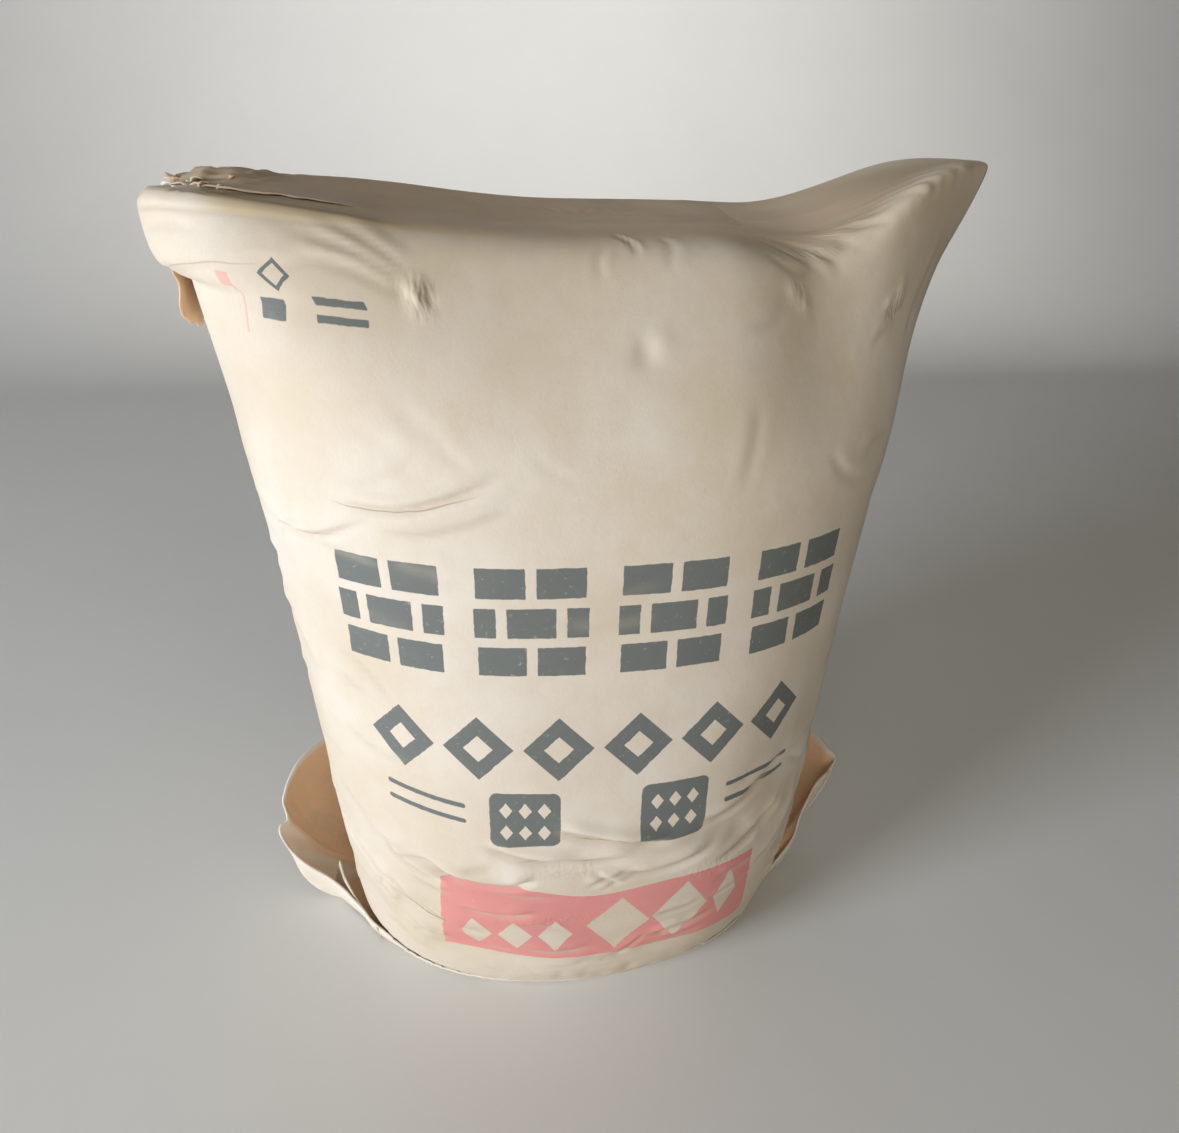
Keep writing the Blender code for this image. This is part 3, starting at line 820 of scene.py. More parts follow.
def skin_object(name, places, around, up, marks):
    """A closed skin through the grid, with paper coordinates in a UV map and each mark in an attribute."""
    rings, columns = places.shape[:2]
    bm = bmesh.new()
    bmesh.ops.create_grid(bm, x_segments=columns, y_segments=rings + 1, size=0.5)
    bm.loops.layers.uv.new("paper")
    bm.verts.layers.int.new("spot")
    for mark in marks:
        bm.verts.layers.float.new(mark)
    mesh = bpy.data.meshes.new(name)
    bm.to_mesh(mesh)
    count = len(mesh.vertices)
    flat = np.empty(count * 3)
    mesh.vertices.foreach_get("co", flat)
    x, y, _ = flat.reshape(count, 3).T
    column = np.rint((x + 0.5) * columns).astype(np.int32)
    ring = np.rint((y + 0.5) * (rings + 1)).astype(np.int32)
    level = np.clip(ring - 1, 0, rings - 1)
    turn = column % columns
    placed = places[level, turn]
    placed[ring == 0] = places[0].mean(axis=0)
    placed[ring == rings + 1] = places[-1].mean(axis=0)
    mesh.vertices.foreach_set("co", placed.ravel())
    mesh.attributes["spot"].data.foreach_set("value", ring * (columns + 1) + column)
    for mark, values in marks.items():
        mesh.attributes[mark].data.foreach_set("value", values[level, turn])
    corners = np.empty(len(mesh.loops), dtype=np.int32)
    mesh.loops.foreach_get("vertex_index", corners)
    past_seam = 4 * QUARTER * (column == columns)
    spots = np.stack([around[level, turn] + past_seam, up[level, turn]], axis=1)
    mesh.uv_layers["paper"].data.foreach_set("uv", spots[corners].ravel())
    bm.clear()
    bm.from_mesh(mesh)
    bpy.data.meshes.remove(mesh)
    rim = [vert for vert in bm.verts if vert.is_boundary]
    bmesh.ops.remove_doubles(bm, verts=rim, dist=1e-6)
    return new_object(name, bm)


def new_object(name, bm):
    mesh = bpy.data.meshes.new(name)
    bm.to_mesh(mesh)
    bm.free()
    mesh.shade_smooth()
    made = bpy.data.objects.new(name, mesh)
    bpy.context.scene.collection.objects.link(made)
    return made


def grid_sheet(columns, rows, place):
    """A sheet of columns by rows of faces; place gives (x, y, z) arrays from two shares from 0 to 1."""
    bm = bmesh.new()
    bmesh.ops.create_grid(bm, x_segments=columns, y_segments=rows, size=0.5)
    flat = np.array([vert.co for vert in bm.verts])
    spots = np.stack(place(flat[:, 0] + 0.5, flat[:, 1] + 0.5), axis=1)
    for vert, spot in zip(bm.verts, spots):
        vert.co = spot
    return bm


def thicken(piece, sheet, inside_slot=0):
    """Gives a sheet its thickness on its inner side; inside_slot is the material slot of that side."""
    solidify = piece.modifiers.new("thickness", "SOLIDIFY")
    solidify.thickness = sheet
    solidify.offset = -1.0
    solidify.use_even_offset = True
    solidify.material_offset = inside_slot
    return piece


def build_sack():
    places, around, up = sack_grid()
    places = soften_edges(places, around)
    places += paper_buckles(places, around, up)
    places[:, :, 2] = np.maximum(places[:, :, 2], FLOOR_GAP)
    fold = fold_paper(places, around, up)
    # fold marks where print wears off and where shade is painted along creases
    marks = {"fold": fold, "wrinkled": wrinkle_heights(around, up)}
    return skin_object("paper_sack", places, around, up, marks)


# The sheets pasted over the ends, and the valve's tongue

def foot_reach(bearing, height):
    """Reach of the sack's plan from the middle at each bearing, at a height above the floor."""
    rise = np.clip((height - FLOOR_GAP) / (FOOT_HEIGHT - FLOOR_GAP), 0.0, 1.0)
    foot = math.sin(math.acos(1.0 - rise))
    outline = ring_points(max(height, FOOT_HEIGHT + 1e-6), foot, 1.0)
    turns = np.degrees(np.arctan2(outline[:, 1], outline[:, 0])) % 360.0
    order = np.argsort(turns)
    reach = np.hypot(outline[:, 0], outline[:, 1])[order]
    turns = turns[order]
    turns = np.concatenate([turns[-1:] - 360.0, turns, turns[:1] + 360.0])
    reach = np.concatenate([reach[-1:], reach, reach[:1]])
    return np.interp(bearing, turns, reach)


def tray_profile(reach, top, start, fullness, share):
    """Start, reach and height of a section of the tray: an ear curls up, a low wall stands straight."""
    low_wall = smooth(*TRAY_LOW_WALL, top)
    start = mix(start, reach - LOW_WALL_FOOT - LOW_WALL_SLOPE * top, low_wall)
    corner = mix(reach * fullness, reach + LOW_WALL_BULGE, low_wall)
    out = (1 - share) ** 2 * start + 2 * share * (1 - share) * corner + share**2 * reach
    height = share**2 * top + 2 * share * (1 - share) * TRAY_RISE * top
    return start, out, height


def crease_ear(bearing, top, share, out, height):
    """The sharp creases of the left ear, and soft waves of both."""
    push = sum(sign * np.exp(-((bearing - middle) / width) ** 2) for middle, width, sign in EAR_CREASES)
    out = out - TRAY_CREASE * push * share * (1.0 - 0.6 * share)
    height = height + TRAY_CREASE * push * smooth(*EAR_CREASE_RISE, share) * (1.0 - share)
    ear = smooth(*EAR_HEIGHTS, top) * share

    def wave(depth, seed, pitch_up, size):
        return depth * ear * ripple(seed, bearing / EAR_WAVE_PITCH, height * pitch_up, size)

    return out + wave(*EAR_WAVE_OUT), height + wave(*EAR_WAVE_UP)


def beside_sack(table, bearing, height):
    """Reach of the sack at each bearing and height, from a table of it."""
    level = np.clip(height / SACK_LEVELS_TOP, 0.0, 0.99999) * (SACK_LEVELS - 1)
    low = level.astype(int)
    column = np.clip(np.rint(bearing).astype(int), 0, 360)
    return mix(table[low, column], table[low + 1, column], level - low)


def cream_share(bearing, share, band):
    """1 where the tray's inner side shows cream: in a band along its rim, and on its second lobe."""
    outer, inner = RIM_BAND_EDGE
    in_rim = smooth(1.0 - outer * band, 1.0 - inner * band, share)
    second_lobe = within(SECOND_LOBE, bearing) * smooth(*SECOND_LOBE_FOOT, share)
    patches = SECOND_LOBE_PATCHES * ripple(9, bearing / 3.0, share * 3.0, 1.0)
    return np.maximum(in_rim, second_lobe * (SECOND_LOBE_CREAM + patches))


def build_tray():
    """The bottom cover: flat under the sack, with ears that curl up off the floor beside it."""
    rim = np.array(TRAY_RIM + ((360.0,) + TRAY_RIM[0][1:],))
    heights = np.linspace(0.0, SACK_LEVELS_TOP, SACK_LEVELS)
    table = np.array([foot_reach(np.arange(361.0), height) for height in heights])
    rim_share = []

    def place(turn, climb):
        bearing = turn * 360.0
        reach = through(rim[:, :2], bearing)
        top = through(rim[:, [0, 2]], bearing)
        along = np.clip((climb - TRAY_FLAT) / (1.0 - TRAY_FLAT), 0.0, 1.0)
        share = along * (3.0 - along) / 2.0
        start = TRAY_START * np.interp(bearing, np.arange(361.0), table[0])
        fullness = np.interp(bearing, *np.array(EAR_FULLNESS).T)
        start, out, height = tray_profile(reach, top, start, fullness, share)
        on_floor = climb < TRAY_FLAT
        out = np.where(on_floor, mix(TRAY_MIDDLE, 1.0, np.minimum(climb / TRAY_FLAT, 1.0)) * start, out)
        out, height = crease_ear(bearing, top, share, out, height)
        clear = np.where(share > 0.0, beside_sack(table, bearing, height) + TRAY_CLEARANCE, 0.0)
        out = np.where(on_floor, out, np.maximum(out, clear))
        rim_share.append(cream_share(bearing, share, RIM_BAND / (top + reach - start)) * (climb > TRAY_FLAT))
        angle = np.radians(bearing)
        return out * np.cos(angle), out * np.sin(angle), np.maximum(height, 0.0)

    bm = grid_sheet(TRAY_COLUMNS, TRAY_LEVELS, place)
    rim_layer = bm.verts.layers.float.new("rim")
    for vert, value in zip(bm.verts, rim_share[0]):
        vert[rim_layer] = value
    rim_verts = [vert for vert in bm.verts if vert.is_boundary]
    bmesh.ops.remove_doubles(bm, verts=rim_verts, dist=1e-5)
    inner = [edge for edge in bm.edges if edge.is_boundary and edge.verts[0].co.xy.length < 0.05]
    bmesh.ops.contextual_create(bm, geom=inner)
    bmesh.ops.recalc_face_normals(bm, faces=bm.faces)
    down = sum(face.normal.z for face in bm.faces if face.calc_center_median().z < TRAY_SHEET)
    if down > 0:
        bmesh.ops.reverse_faces(bm, faces=bm.faces)
    return thicken(new_object("bottom_tray", bm), TRAY_SHEET, inside_slot=1)


def build_flap():
    """The left ear's inner ply, which stands between the ear and the sack."""
    top, foot = (np.array(line) / 1000.0 for line in (FLAP_TOP, FLAP_FOOT))
    stations = np.linspace(0.0, 1.0, len(top))

    def place(along, drop):
        spots = []
        for axis in range(3):
            high = through(np.stack([stations, top[:, axis]], axis=1), along)
            low = through(np.stack([stations, foot[:, axis]], axis=1), along)
            spots.append(mix(high, low, drop))
        spots[2] = spots[2] + FLAP_WAVE * ripple(31, along * 4.0, drop, 1.2) * (1.0 - drop)
        return spots

    return thicken(new_object("corner_flap", grid_sheet(*FLAP_FACES, place)), TRAY_SHEET)


def height_on(skin, x, y):
    """Height of a skin straight below a place."""
    return skin.ray_cast(Vector((x, y, 1.0)), Vector((0.0, 0.0, -1.0)))[0].z


def build_top_cover(skin):
    """The sheet pasted over the top end, draped on the sack; its front left edge stands proud."""
    front, back = (np.array(line) / 1000.0 for line in (COVER_FRONT, COVER_BACK))
    proud_share = []

    def place(across, along):
        x = mix(front[0, 0], front[-1, 0], across)
        wave = waver(x, *COVER_WAVE) + smooth(*COVER_TORN_END, x) * waver(x, *COVER_TORN_WAVE)
        y = mix(through(front, x) + wave, through(back, x) + wave, along)
        z = np.array([height_on(skin, *spot) for spot in zip(x, y)])
        proud = smooth(*COVER_PROUD_END, x) * smooth(0.8, 0.2, along)
        proud_share.append(proud)
        torn = smooth(*COVER_CRUMPLED_END, x) * smooth(0.10, 0.5, along)
        crumples = torn * (1.0 + 0.9 * ripple(15, x, y, 0.018) + 0.45 * ripple(16, x, y, 0.006))
        tucked_front = smooth(*COVER_TUCKED_FRONT, x) * smooth(0.20, 0.0, along)
        tuck = np.maximum(smooth(*COVER_TUCKED_RIGHT, x), tucked_front)
        z = z + COVER_LIFT + COVER_PROUD * proud + COVER_CRUMPLE * np.maximum(crumples, 0.0)
        return x, y, z - COVER_TUCK * tuck

    cover = new_object("top_end_cover", grid_sheet(*COVER_FACES, place))
    weights = cover.vertex_groups.new(name="thick")
    for number, proud in enumerate(proud_share[0]):
        weights.add([number], mix(COVER_THIN, 1.0, proud), "REPLACE")
    thicken(cover, COVER_SHEET)
    cover.modifiers["thickness"].vertex_group = "thick"
    cover.modifiers["thickness"].offset = 1.0
    return cover


def build_tongue():
    """The filling valve's kraft tongue, ragged where it was torn, hanging out under the left lip."""
    ragged = random.Random(TONGUE_SEED)
    teeth = [ragged.uniform(-TONGUE_TEAR, TONGUE_TEAR) for _ in range(TONGUE_TEETH)]

    def place(across, drop):
        side = TONGUE_SLANT * drop + waver(drop * 3.0, *TONGUE_SIDE_WAVE)
        y = mix(*TONGUE_SIDES, across) + side * (1 - across)
        torn = np.interp(across, np.linspace(0, 1, len(teeth)), teeth)
        z = mix(TONGUE_TOP, through(TONGUE_END, y) + torn, drop)
        out = TONGUE_SWING * drop**1.5 + TONGUE_WAVE * ripple(6, across * 3.0, drop * 2.0, 1.3) * drop
        return -TONGUE_OUT - out, y, z

    return thicken(new_object("kraft_tongue", grid_sheet(*TONGUE_FACES, place)), TONGUE_SHEET)


def build_scraps(name, skin, scraps):
    """Small torn bits of paper, each curled and leaning up off the skin that it hangs on."""
    rng = random.Random(SCRAP_SEED)
    bm = bmesh.new()
    for x, y, length, width, bearing, lean, curl in scraps:
        spot = skin.find_nearest(Vector((x / 1000, y / 1000, END_HEIGHT + SCRAP_ABOVE)))[0]
        turn = Matrix.Rotation(math.radians(bearing), 4, "Z") @ Matrix.Rotation(-math.radians(lean), 4, "Y")
        columns, rows = SCRAP_FACES
        made = bmesh.ops.create_grid(bm, x_segments=columns, y_segments=rows, size=0.5)["verts"]
        for vert in made:
            along, across = vert.co.x + 0.5, vert.co.y
            ragged = 1.0 + rng.uniform(*SCRAP_TEAR) * (along > 0.9)
            ragged += rng.uniform(*SCRAP_TEAR) * (abs(across) > 0.4)
            bow = curl * along * along + SCRAP_BOW * math.sin(9.0 * along + 5.0 * across)
            vert.co = Vector((along * ragged * length, across * ragged * width, bow * width)) / 1000
        bmesh.ops.transform(bm, matrix=Matrix.Translation(spot) @ turn, verts=made)
    return thicken(new_object(name, bm), SCRAP_SHEET)


# Finishes

def colour(red, green, blue):
    """A linear colour from 8-bit screen values."""
    parts = []
    for part in (red, green, blue):
        part /= 255.0
        parts.append(part / 12.92 if part <= 0.04045 else ((part + 0.055) / 1.055) ** 2.4)
    return (*parts, 1.0)


CREAM = colour(226, 217, 205)
CREAM_WARM = colour(214, 201, 180)
# dusty cream, also used for painted shade near the top
CREAM_DUST_AND_SHADE = colour(186, 168, 140)
# painted shade: the brown that folds and crease lines are darkened towards
PAINTED_CREASE_SHADE = colour(132, 106, 76)
# the top end's tints: its dust, and painted shade of its dimly lit top
TOP_BROWN = colour(202, 178, 153)
TOP_TAN = colour(216, 195, 168)
GREY_INK = colour(101, 108, 107)
RED_INK = colour(223, 142, 139)
KRAFT = colour(244, 208, 173)
KRAFT_DARK = colour(226, 187, 150)
# painted shade of the strip under the end's edge
HEM_SHADE_TAN = colour(206, 186, 150)
# painted shade on the horn
HORN_SHADE_TAN = colour(168, 148, 122)
CEMENT = colour(186, 182, 168)

# Noises of the papers: scale in swells per metre, detail and roughness
FIBRE_NOISE = (1500.0, 2.0, 0.6)
CRUMPLE_NOISE = (34.0, 3.0, 0.5)
CLOUD_NOISE = (16.0, 4.0, 0.6)
DUST_BLOTCHES = (30.0, 5.0, 0.65)
DUST_SPECKS = (260.0, 3.0, 0.7)
SOIL_NOISE = (24.0, 5.0, 0.62)
WEAR_NOISE = (420.0, 3.0, 0.7)
WRINKLE_NOISE = (400.0, 1.0)
WRINKLE_STRETCH = (1.0, 0.45, 1.0)
PRINT_SHAKE = (300.0, 0.0007)     # how print is pushed off its place: (scale of the noise, reach)
CREASE_SHAKE = (55.0, 0.0025)

# Soft steps in the cream paper's look: where each starts and ends, and how much it has there
CLOUDS = (0.35, 0.85)
SOILED_FOOT = (0.0, 0.16, 0.45, 0.0)
# dust and painted shade towards the front's top, where it bends back
TOP_DUST_AND_SHADE = (0.330, 0.404)
TOP_DUST_AND_SHADE_LEFT = (-0.150, -0.100, 0.15, 0.70)
BARE_SPECKS = (0.60, 0.80, 0.0, 0.45)
END_STARTS = (-0.148, -0.134, 0.4140, 0.4040)
END_FULL_LEFT = (-0.148, -0.134, 0.4165, 0.4062)
END_FULL = (-0.095, -0.045, 0.4062, 0.4190)
END_LIGHT_RIGHT = (0.09, 0.17, 0.0, 0.55)
END_LIGHT_LEFT = (-0.045, -0.100, 0.0, 0.8)
# where painted shade on the horn sets in, and how much
END_HORN_SHADE = (0.085, 0.150, 0.0, 0.85)
HEM_FOOT = (-0.130, -0.030, 0.3985, 0.4035)
HEM_LEFT = (-0.142, -0.128)
HEM_RIGHT = (-0.060, -0.015, 1.0, 0.0)
HEM_BACK = (-0.020, -0.005, 1.0, 0.0)
HEM_SHARPNESS = 0.0008

# How strongly each covers the paper below it
GREY_COVER = 0.95
RED_COVER = 0.92
WORN_OFF = 0.75
CREASE_SHADE = 0.30
DUST_COVER = 0.35
HEM_COVER = 0.7

# Printed marks in mm of paper: middle round and up, width, height, and on some blocks the corners' radius
PRINT_CORNER = 0.5
BRICK_PANEL = (0, 0, 46, 52, 0.8)
PANEL_PITCH = 58
PANEL_PLACE = (29, 265)
BRICK = (0, 0, 19.6, 13.6, 0.4)
BRICK_PITCH = (24, 18)
BRICKS_FOOT = 238
BRICK_ROW = (0, 265, 232, 60)
LOZENGE_SIZES = ((0, 0, 31, 34), (0, 0, 13, 14))
LOZENGE_PITCH = 35
LOZENGE_PLACE = (17, 202)
LOZENGE_ROW = (-0.5, 202, 209, 60)
LEFT_RULES = ((-79, 171.2, 38, 2.7, 1.2), (-79, 162.4, 38, 2.7, 1.2))
LEFT_RULES_PIVOT = -78
LEFT_RULES_SLANT = 0.13
RIGHT_RULES = ((82.5, 169.0, 41, 2.6, 1.2), (82.5, 159.6, 41, 2.6, 1.2))
PLATES = ((-33, 162.5, 32, 31, 4.0), (36, 160.5, 32.5, 36, 4.0))
PLATE_INSIDES = ((-33, 161.5, 25, 24), (36, 161.5, 25, 24))
PLATE_DOT = (0, 0, 6.0, 9.0)
PLATE_DOT_PITCH = (69 / 8, 13)
PLATE_DOT_PLACE = (-33, 155)
CORNER_BLOCKS = ((-117, 372.5, 9, 6.5), (-92.5, 376.5, 18, 2.4), (-92.5, 371.3, 18, 2.4))
CORNER_DIAMONDS = ((-112, 383, 11, 10), (-112, 383, 7.4, 6.6))
RED_BAND = (5.7, 84, 163, 70)
RED_BAND_TAPER = (118, 1.7)       # full width at this height, and how much wider per metre below it
RED_BAND_TOP = (87, 111.0, 163, 11.0)  # lowest place round, its height, and the run and rise to its left
RED_BAND_DIP = (-3, 45, 7.5)      # a dip in its top: middle, half width and depth
SMALL_DIAMOND = (0, 0, 19, 28)
SMALL_DIAMOND_PITCH = 22
SMALL_DIAMOND_PLACE = (-63, 71)
SMALL_DIAMOND_ROW = (-41, 71, 65, 40)
LARGE_DIAMONDS = ((15, 77, 34, 50), (49, 80, 32, 52), (76, 82, 15, 40))
RED_NOTES = ((-130.5, 380, 4.5, 4.5), (-128.5, 371, 0.8, 14, 0.3))
RED_NOTES_COVER = 0.55


class Wiring:
    """Makes nodes in one tree and links what they are given into their sockets."""

    def __init__(self, tree):
        self.tree = tree

    def link(self, value, socket):
        self.tree.links.new(value, socket)

    def fill(self, made, inputs):
        for socket, value in dict(inputs).items():
            if isinstance(value, bpy.types.NodeSocket):
                self.link(value, made.inputs[socket])
            else:
                made.inputs[socket].default_value = value

    def node(self, kind, inputs=(), **settings):
        made = self.tree.nodes.new("ShaderNode" + kind)
        for name, value in settings.items():
            setattr(made, name, value)
        self.fill(made, inputs)
        return made

    def use(self, group, **inputs):
        made = self.tree.nodes.new("ShaderNodeGroup")
        made.node_tree = group
        self.fill(made, inputs)
        return made.outputs

    def math(self, operation, *values):
        return self.node("Math", enumerate(values), operation=operation).outputs[0]

    def times(self, one, other):
        return self.math("MULTIPLY", one, other)

    def plus(self, one, other):
        return self.math("ADD", one, other)

    def minus(self, one, other):
        return self.math("SUBTRACT", one, other)

    def larger(self, one, other):
        return self.math("MAXIMUM", one, other)

    def vector(self, operation, *values):
        made = self.node("VectorMath", enumerate(values), operation=operation)
        return made.outputs["Value" if operation == "LENGTH" else "Vector"]

    def parts(self, vector):
        return self.node("SeparateXYZ", {0: vector}).outputs

    def joined(self, across, up):
        return self.node("CombineXYZ", {0: across, 1: up}).outputs["Vector"]

    def span(self, value, start, end, low=0.0, high=1.0):
        """A smooth step from low to high as the value goes from start to end."""
        inputs = {"Value": value, "From Min": start, "From Max": end, "To Min": low, "To Max": high}
        return self.node("MapRange", inputs, interpolation_type="SMOOTHSTEP").outputs["Result"]

    def blend(self, share, low, high):
        return self.node("Mix", {0: share, 6: low, 7: high}, data_type="RGBA").outputs[2]

    def noise(self, place, scale, detail=3.0, roughness=0.55):
        inputs = {"Vector": place, "Scale": scale, "Detail": detail, "Roughness": roughness}
        return self.node("TexNoise", inputs).outputs["Fac"]

    def place(self):
        return self.node("TexCoord").outputs["Object"]

    def attribute(self, name):
        return self.node("Attribute", attribute_name=name).outputs["Fac"]


def make_group(name, inputs, outputs):
    """An empty node group, its wiring, and its entry and exit sockets."""
    tree = bpy.data.node_groups.new(name, "ShaderNodeTree")
    for socket, kind, value in inputs:
        made = tree.interface.new_socket(socket, in_out="INPUT", socket_type="NodeSocket" + kind)
        if value is not None:
            made.default_value = value
    for socket, kind in outputs:
        tree.interface.new_socket(socket, in_out="OUTPUT", socket_type="NodeSocket" + kind)
    entry = tree.nodes.new("NodeGroupInput").outputs
    leave = tree.nodes.new("NodeGroupOutput").inputs
    return tree, Wiring(tree), entry, leave


def paper_grain_group():
    """Fibre grain and soft crumples of paper: a height in metres and an uneven tone."""
    inputs = (("Vector", "Vector", None), ("Fibre", "Float", 0.00006), ("Crumple", "Float", 0.0005))
    tree, wiring, entry, leave = make_group("paper_grain", inputs, (("Height", "Float"), ("Tone", "Float")))
    place = entry["Vector"]
    stretched = wiring.vector("MULTIPLY", place, (1.0, 1.0, 0.35))
    fibre = wiring.noise(stretched, *FIBRE_NOISE)
    crumple = wiring.noise(place, *CRUMPLE_NOISE)
    fine = wiring.times(fibre, entry["Fibre"])
    coarse = wiring.times(crumple, entry["Crumple"])
    wiring.link(wiring.plus(fine, coarse), leave["Height"])
    cloudy = wiring.noise(place, *CLOUD_NOISE)
    wiring.link(wiring.math("MULTIPLY_ADD", fibre, 0.25, cloudy), leave["Tone"])
    return tree


def cement_dust_group():
    """Where cement dust lies: in blotches, and more on faces that look up."""
    inputs = (("Vector", "Vector", None), ("Amount", "Float", 0.5))
    tree, wiring, entry, leave = make_group("cement_dust", inputs, (("Mask", "Float"),))
    blotches = wiring.noise(entry["Vector"], *DUST_BLOTCHES)
    specks = wiring.noise(entry["Vector"], *DUST_SPECKS)
    facing = wiring.parts(wiring.node("NewGeometry").outputs["Normal"])["Z"]
    settled = wiring.span(facing, 0.1, 0.9, 0.25, 1.0)
    spread = wiring.math("MULTIPLY_ADD", specks, 0.5, blotches)
    amount = wiring.minus(1.28, wiring.times(entry["Amount"], 0.6))
    mask = wiring.times(wiring.span(spread, wiring.minus(amount, 0.25), amount), settled)
    wiring.link(mask, leave["Mask"])
    return tree


def printed_block_group():
    """1 inside a rounded block of print, 0 outside it, in paper coordinates."""
    inputs = (
        ("Paper", "Vector", None), ("Middle", "Vector", None), ("Half", "Vector", None),
        ("Corner", "Float", 0.001),
    )
    tree, wiring, entry, leave = make_group("printed_block", inputs, (("Mask", "Float"),))
    offset = wiring.vector("ABSOLUTE", wiring.vector("SUBTRACT", entry["Paper"], entry["Middle"]))
    beyond = wiring.vector("MAXIMUM", wiring.vector("SUBTRACT", offset, entry["Half"]), (0.0, 0.0, 0.0))
    edge = wiring.minus(wiring.vector("LENGTH", beyond), entry["Corner"])
    wiring.link(wiring.span(edge, -0.0002, 0.0002, 1.0, 0.0), leave["Mask"])
    return tree


def printed_diamond_group():
    """1 inside a diamond of print, 0 outside it, in paper coordinates."""
    inputs = (("Paper", "Vector", None), ("Middle", "Vector", None), ("Half", "Vector", None))
    tree, wiring, entry, leave = make_group("printed_diamond", inputs, (("Mask", "Float"),))
    offset = wiring.vector("ABSOLUTE", wiring.vector("SUBTRACT", entry["Paper"], entry["Middle"]))
    parts = wiring.parts(wiring.vector("DIVIDE", offset, entry["Half"]))
    reach = wiring.plus(parts["X"], parts["Y"])
    wiring.link(wiring.span(reach, 0.985, 1.015, 1.0, 0.0), leave["Mask"])
    return tree


def crease_shadow_group():
    """The painted shadow line of a thin bent crease, in paper coordinates."""
    inputs = (
        ("Paper", "Vector", None), ("Middle", "Vector", None), ("Reach", "Float", 0.03),
        ("Slope", "Float", 0.0), ("Bend", "Float", 0.0), ("Width", "Float", 0.0005),
        ("Darkness", "Float", 0.6),
    )
    tree, wiring, entry, leave = make_group("paper_crease", inputs, (("Mask", "Float"),))
    parts = wiring.parts(wiring.vector("SUBTRACT", entry["Paper"], entry["Middle"]))
    share = wiring.math("DIVIDE", parts["X"], entry["Reach"])
    bent = wiring.times(wiring.times(share, share), entry["Bend"])
    off = wiring.minus(parts["Y"], wiring.math("MULTIPLY_ADD", parts["X"], entry["Slope"], bent))
    ends = wiring.span(wiring.math("ABSOLUTE", share), 0.35, 1.0, 1.0, 0.0)
    near = wiring.span(wiring.math("ABSOLUTE", off), 0.0, entry["Width"], entry["Darkness"], 0.0)
    wiring.link(wiring.times(near, ends), leave["Mask"])
    return tree


def new_material(name, rough, **settings):
    """A material, its wiring and its Principled shader with what is even all over it."""
    material = bpy.data.materials.new(name)
    material.use_nodes = True
    shader = material.node_tree.nodes["Principled BSDF"]
    shader.inputs["Roughness"].default_value = rough
    for socket, value in settings.items():
        shader.inputs[socket.replace("_", " ")].default_value = value
    return material, Wiring(material.node_tree), shader


def finish_surface(wiring, shader, tint, height):
    bump = wiring.node("Bump", {"Height": height, "Strength": 1.0, "Distance": 1.0})
    wiring.link(tint, shader.inputs["Base Color"])
    wiring.link(bump.outputs["Normal"], shader.inputs["Normal"])


class Print:
    """Makes masks of printed marks, with their places and sizes in millimetres of paper."""

    def __init__(self, wiring, paper):
        self.wiring = wiring
        self.paper = paper
        self.spot = wiring.parts(paper)
        self.block = printed_block_group()
        self.diamond = printed_diamond_group()

    def wrapped(self, value, pitch):
        """A coordinate that starts again at each pitch, with 0 in its middle."""
        return self.wiring.math("WRAP", value, pitch / 2000, -pitch / 2000)

    def repeated(self, middle, pitch_round, pitch_up=None):
        """Paper coordinates for a mark that is repeated at each pitch, with 0 at its middle."""
        across = self.wrapped(self.wiring.minus(self.spot["X"], middle[0] / 1000), pitch_round)
        up = self.wiring.minus(self.spot["Y"], middle[1] / 1000)
        return self.wiring.joined(across, self.wrapped(up, pitch_up) if pitch_up else up)

    def any_of(self, *masks):
        return functools.reduce(self.wiring.larger, masks)

    def without(self, mask, hole):
        return self.wiring.times(mask, self.wiring.minus(1.0, hole))

    def mark(self, group, where, place, spare, **settings):
        middle = (place[0] / 1000, place[1] / 1000, 0.0)
        half = (place[2] / 2000 - spare, place[3] / 2000 - spare, 1.0)
        return self.wiring.use(group, Paper=where or self.paper, Middle=middle, Half=half, **settings)["Mask"]

    def blocks(self, *places, where=None):
        masks = []
        for place in places:
            corner = (place[4] if len(place) > 4 else PRINT_CORNER) / 1000
            masks.append(self.mark(self.block, where, place, corner, Corner=corner))
        return self.any_of(*masks)

    def diamonds(self, *places, where=None):
        return self.any_of(*(self.mark(self.diamond, where, place, 0.0) for place in places))


def brick_row(ink):
    """Panels of bricks, where each second course is shifted by half a brick."""
    wiring = ink.wiring
    panel_place = ink.repeated(PANEL_PLACE, PANEL_PITCH)
    length, rise = (pitch / 1000 for pitch in BRICK_PITCH)
    above_foot = wiring.minus(ink.spot["Y"], BRICKS_FOOT / 1000)
    course = wiring.math("FLOOR", wiring.math("DIVIDE", above_foot, rise))
    shift = wiring.math("MULTIPLY_ADD", wiring.math("MODULO", course, 2.0), length / 2, length / 2)
    shifted = ink.wrapped(wiring.plus(wiring.parts(panel_place)["X"], shift), BRICK_PITCH[0])
    level = ink.wrapped(wiring.minus(above_foot, rise / 2), BRICK_PITCH[1])
    bricks = ink.blocks(BRICK, where=wiring.joined(shifted, level))
    panels = wiring.times(ink.blocks(BRICK_PANEL, where=panel_place), bricks)
    return wiring.times(panels, ink.blocks(BRICK_ROW))


def lozenge_row(ink):
    place = ink.repeated(LOZENGE_PLACE, LOZENGE_PITCH)
    outer, inner = (ink.diamonds(size, where=place) for size in LOZENGE_SIZES)
    return ink.wiring.times(ink.without(outer, inner), ink.blocks(LOZENGE_ROW))


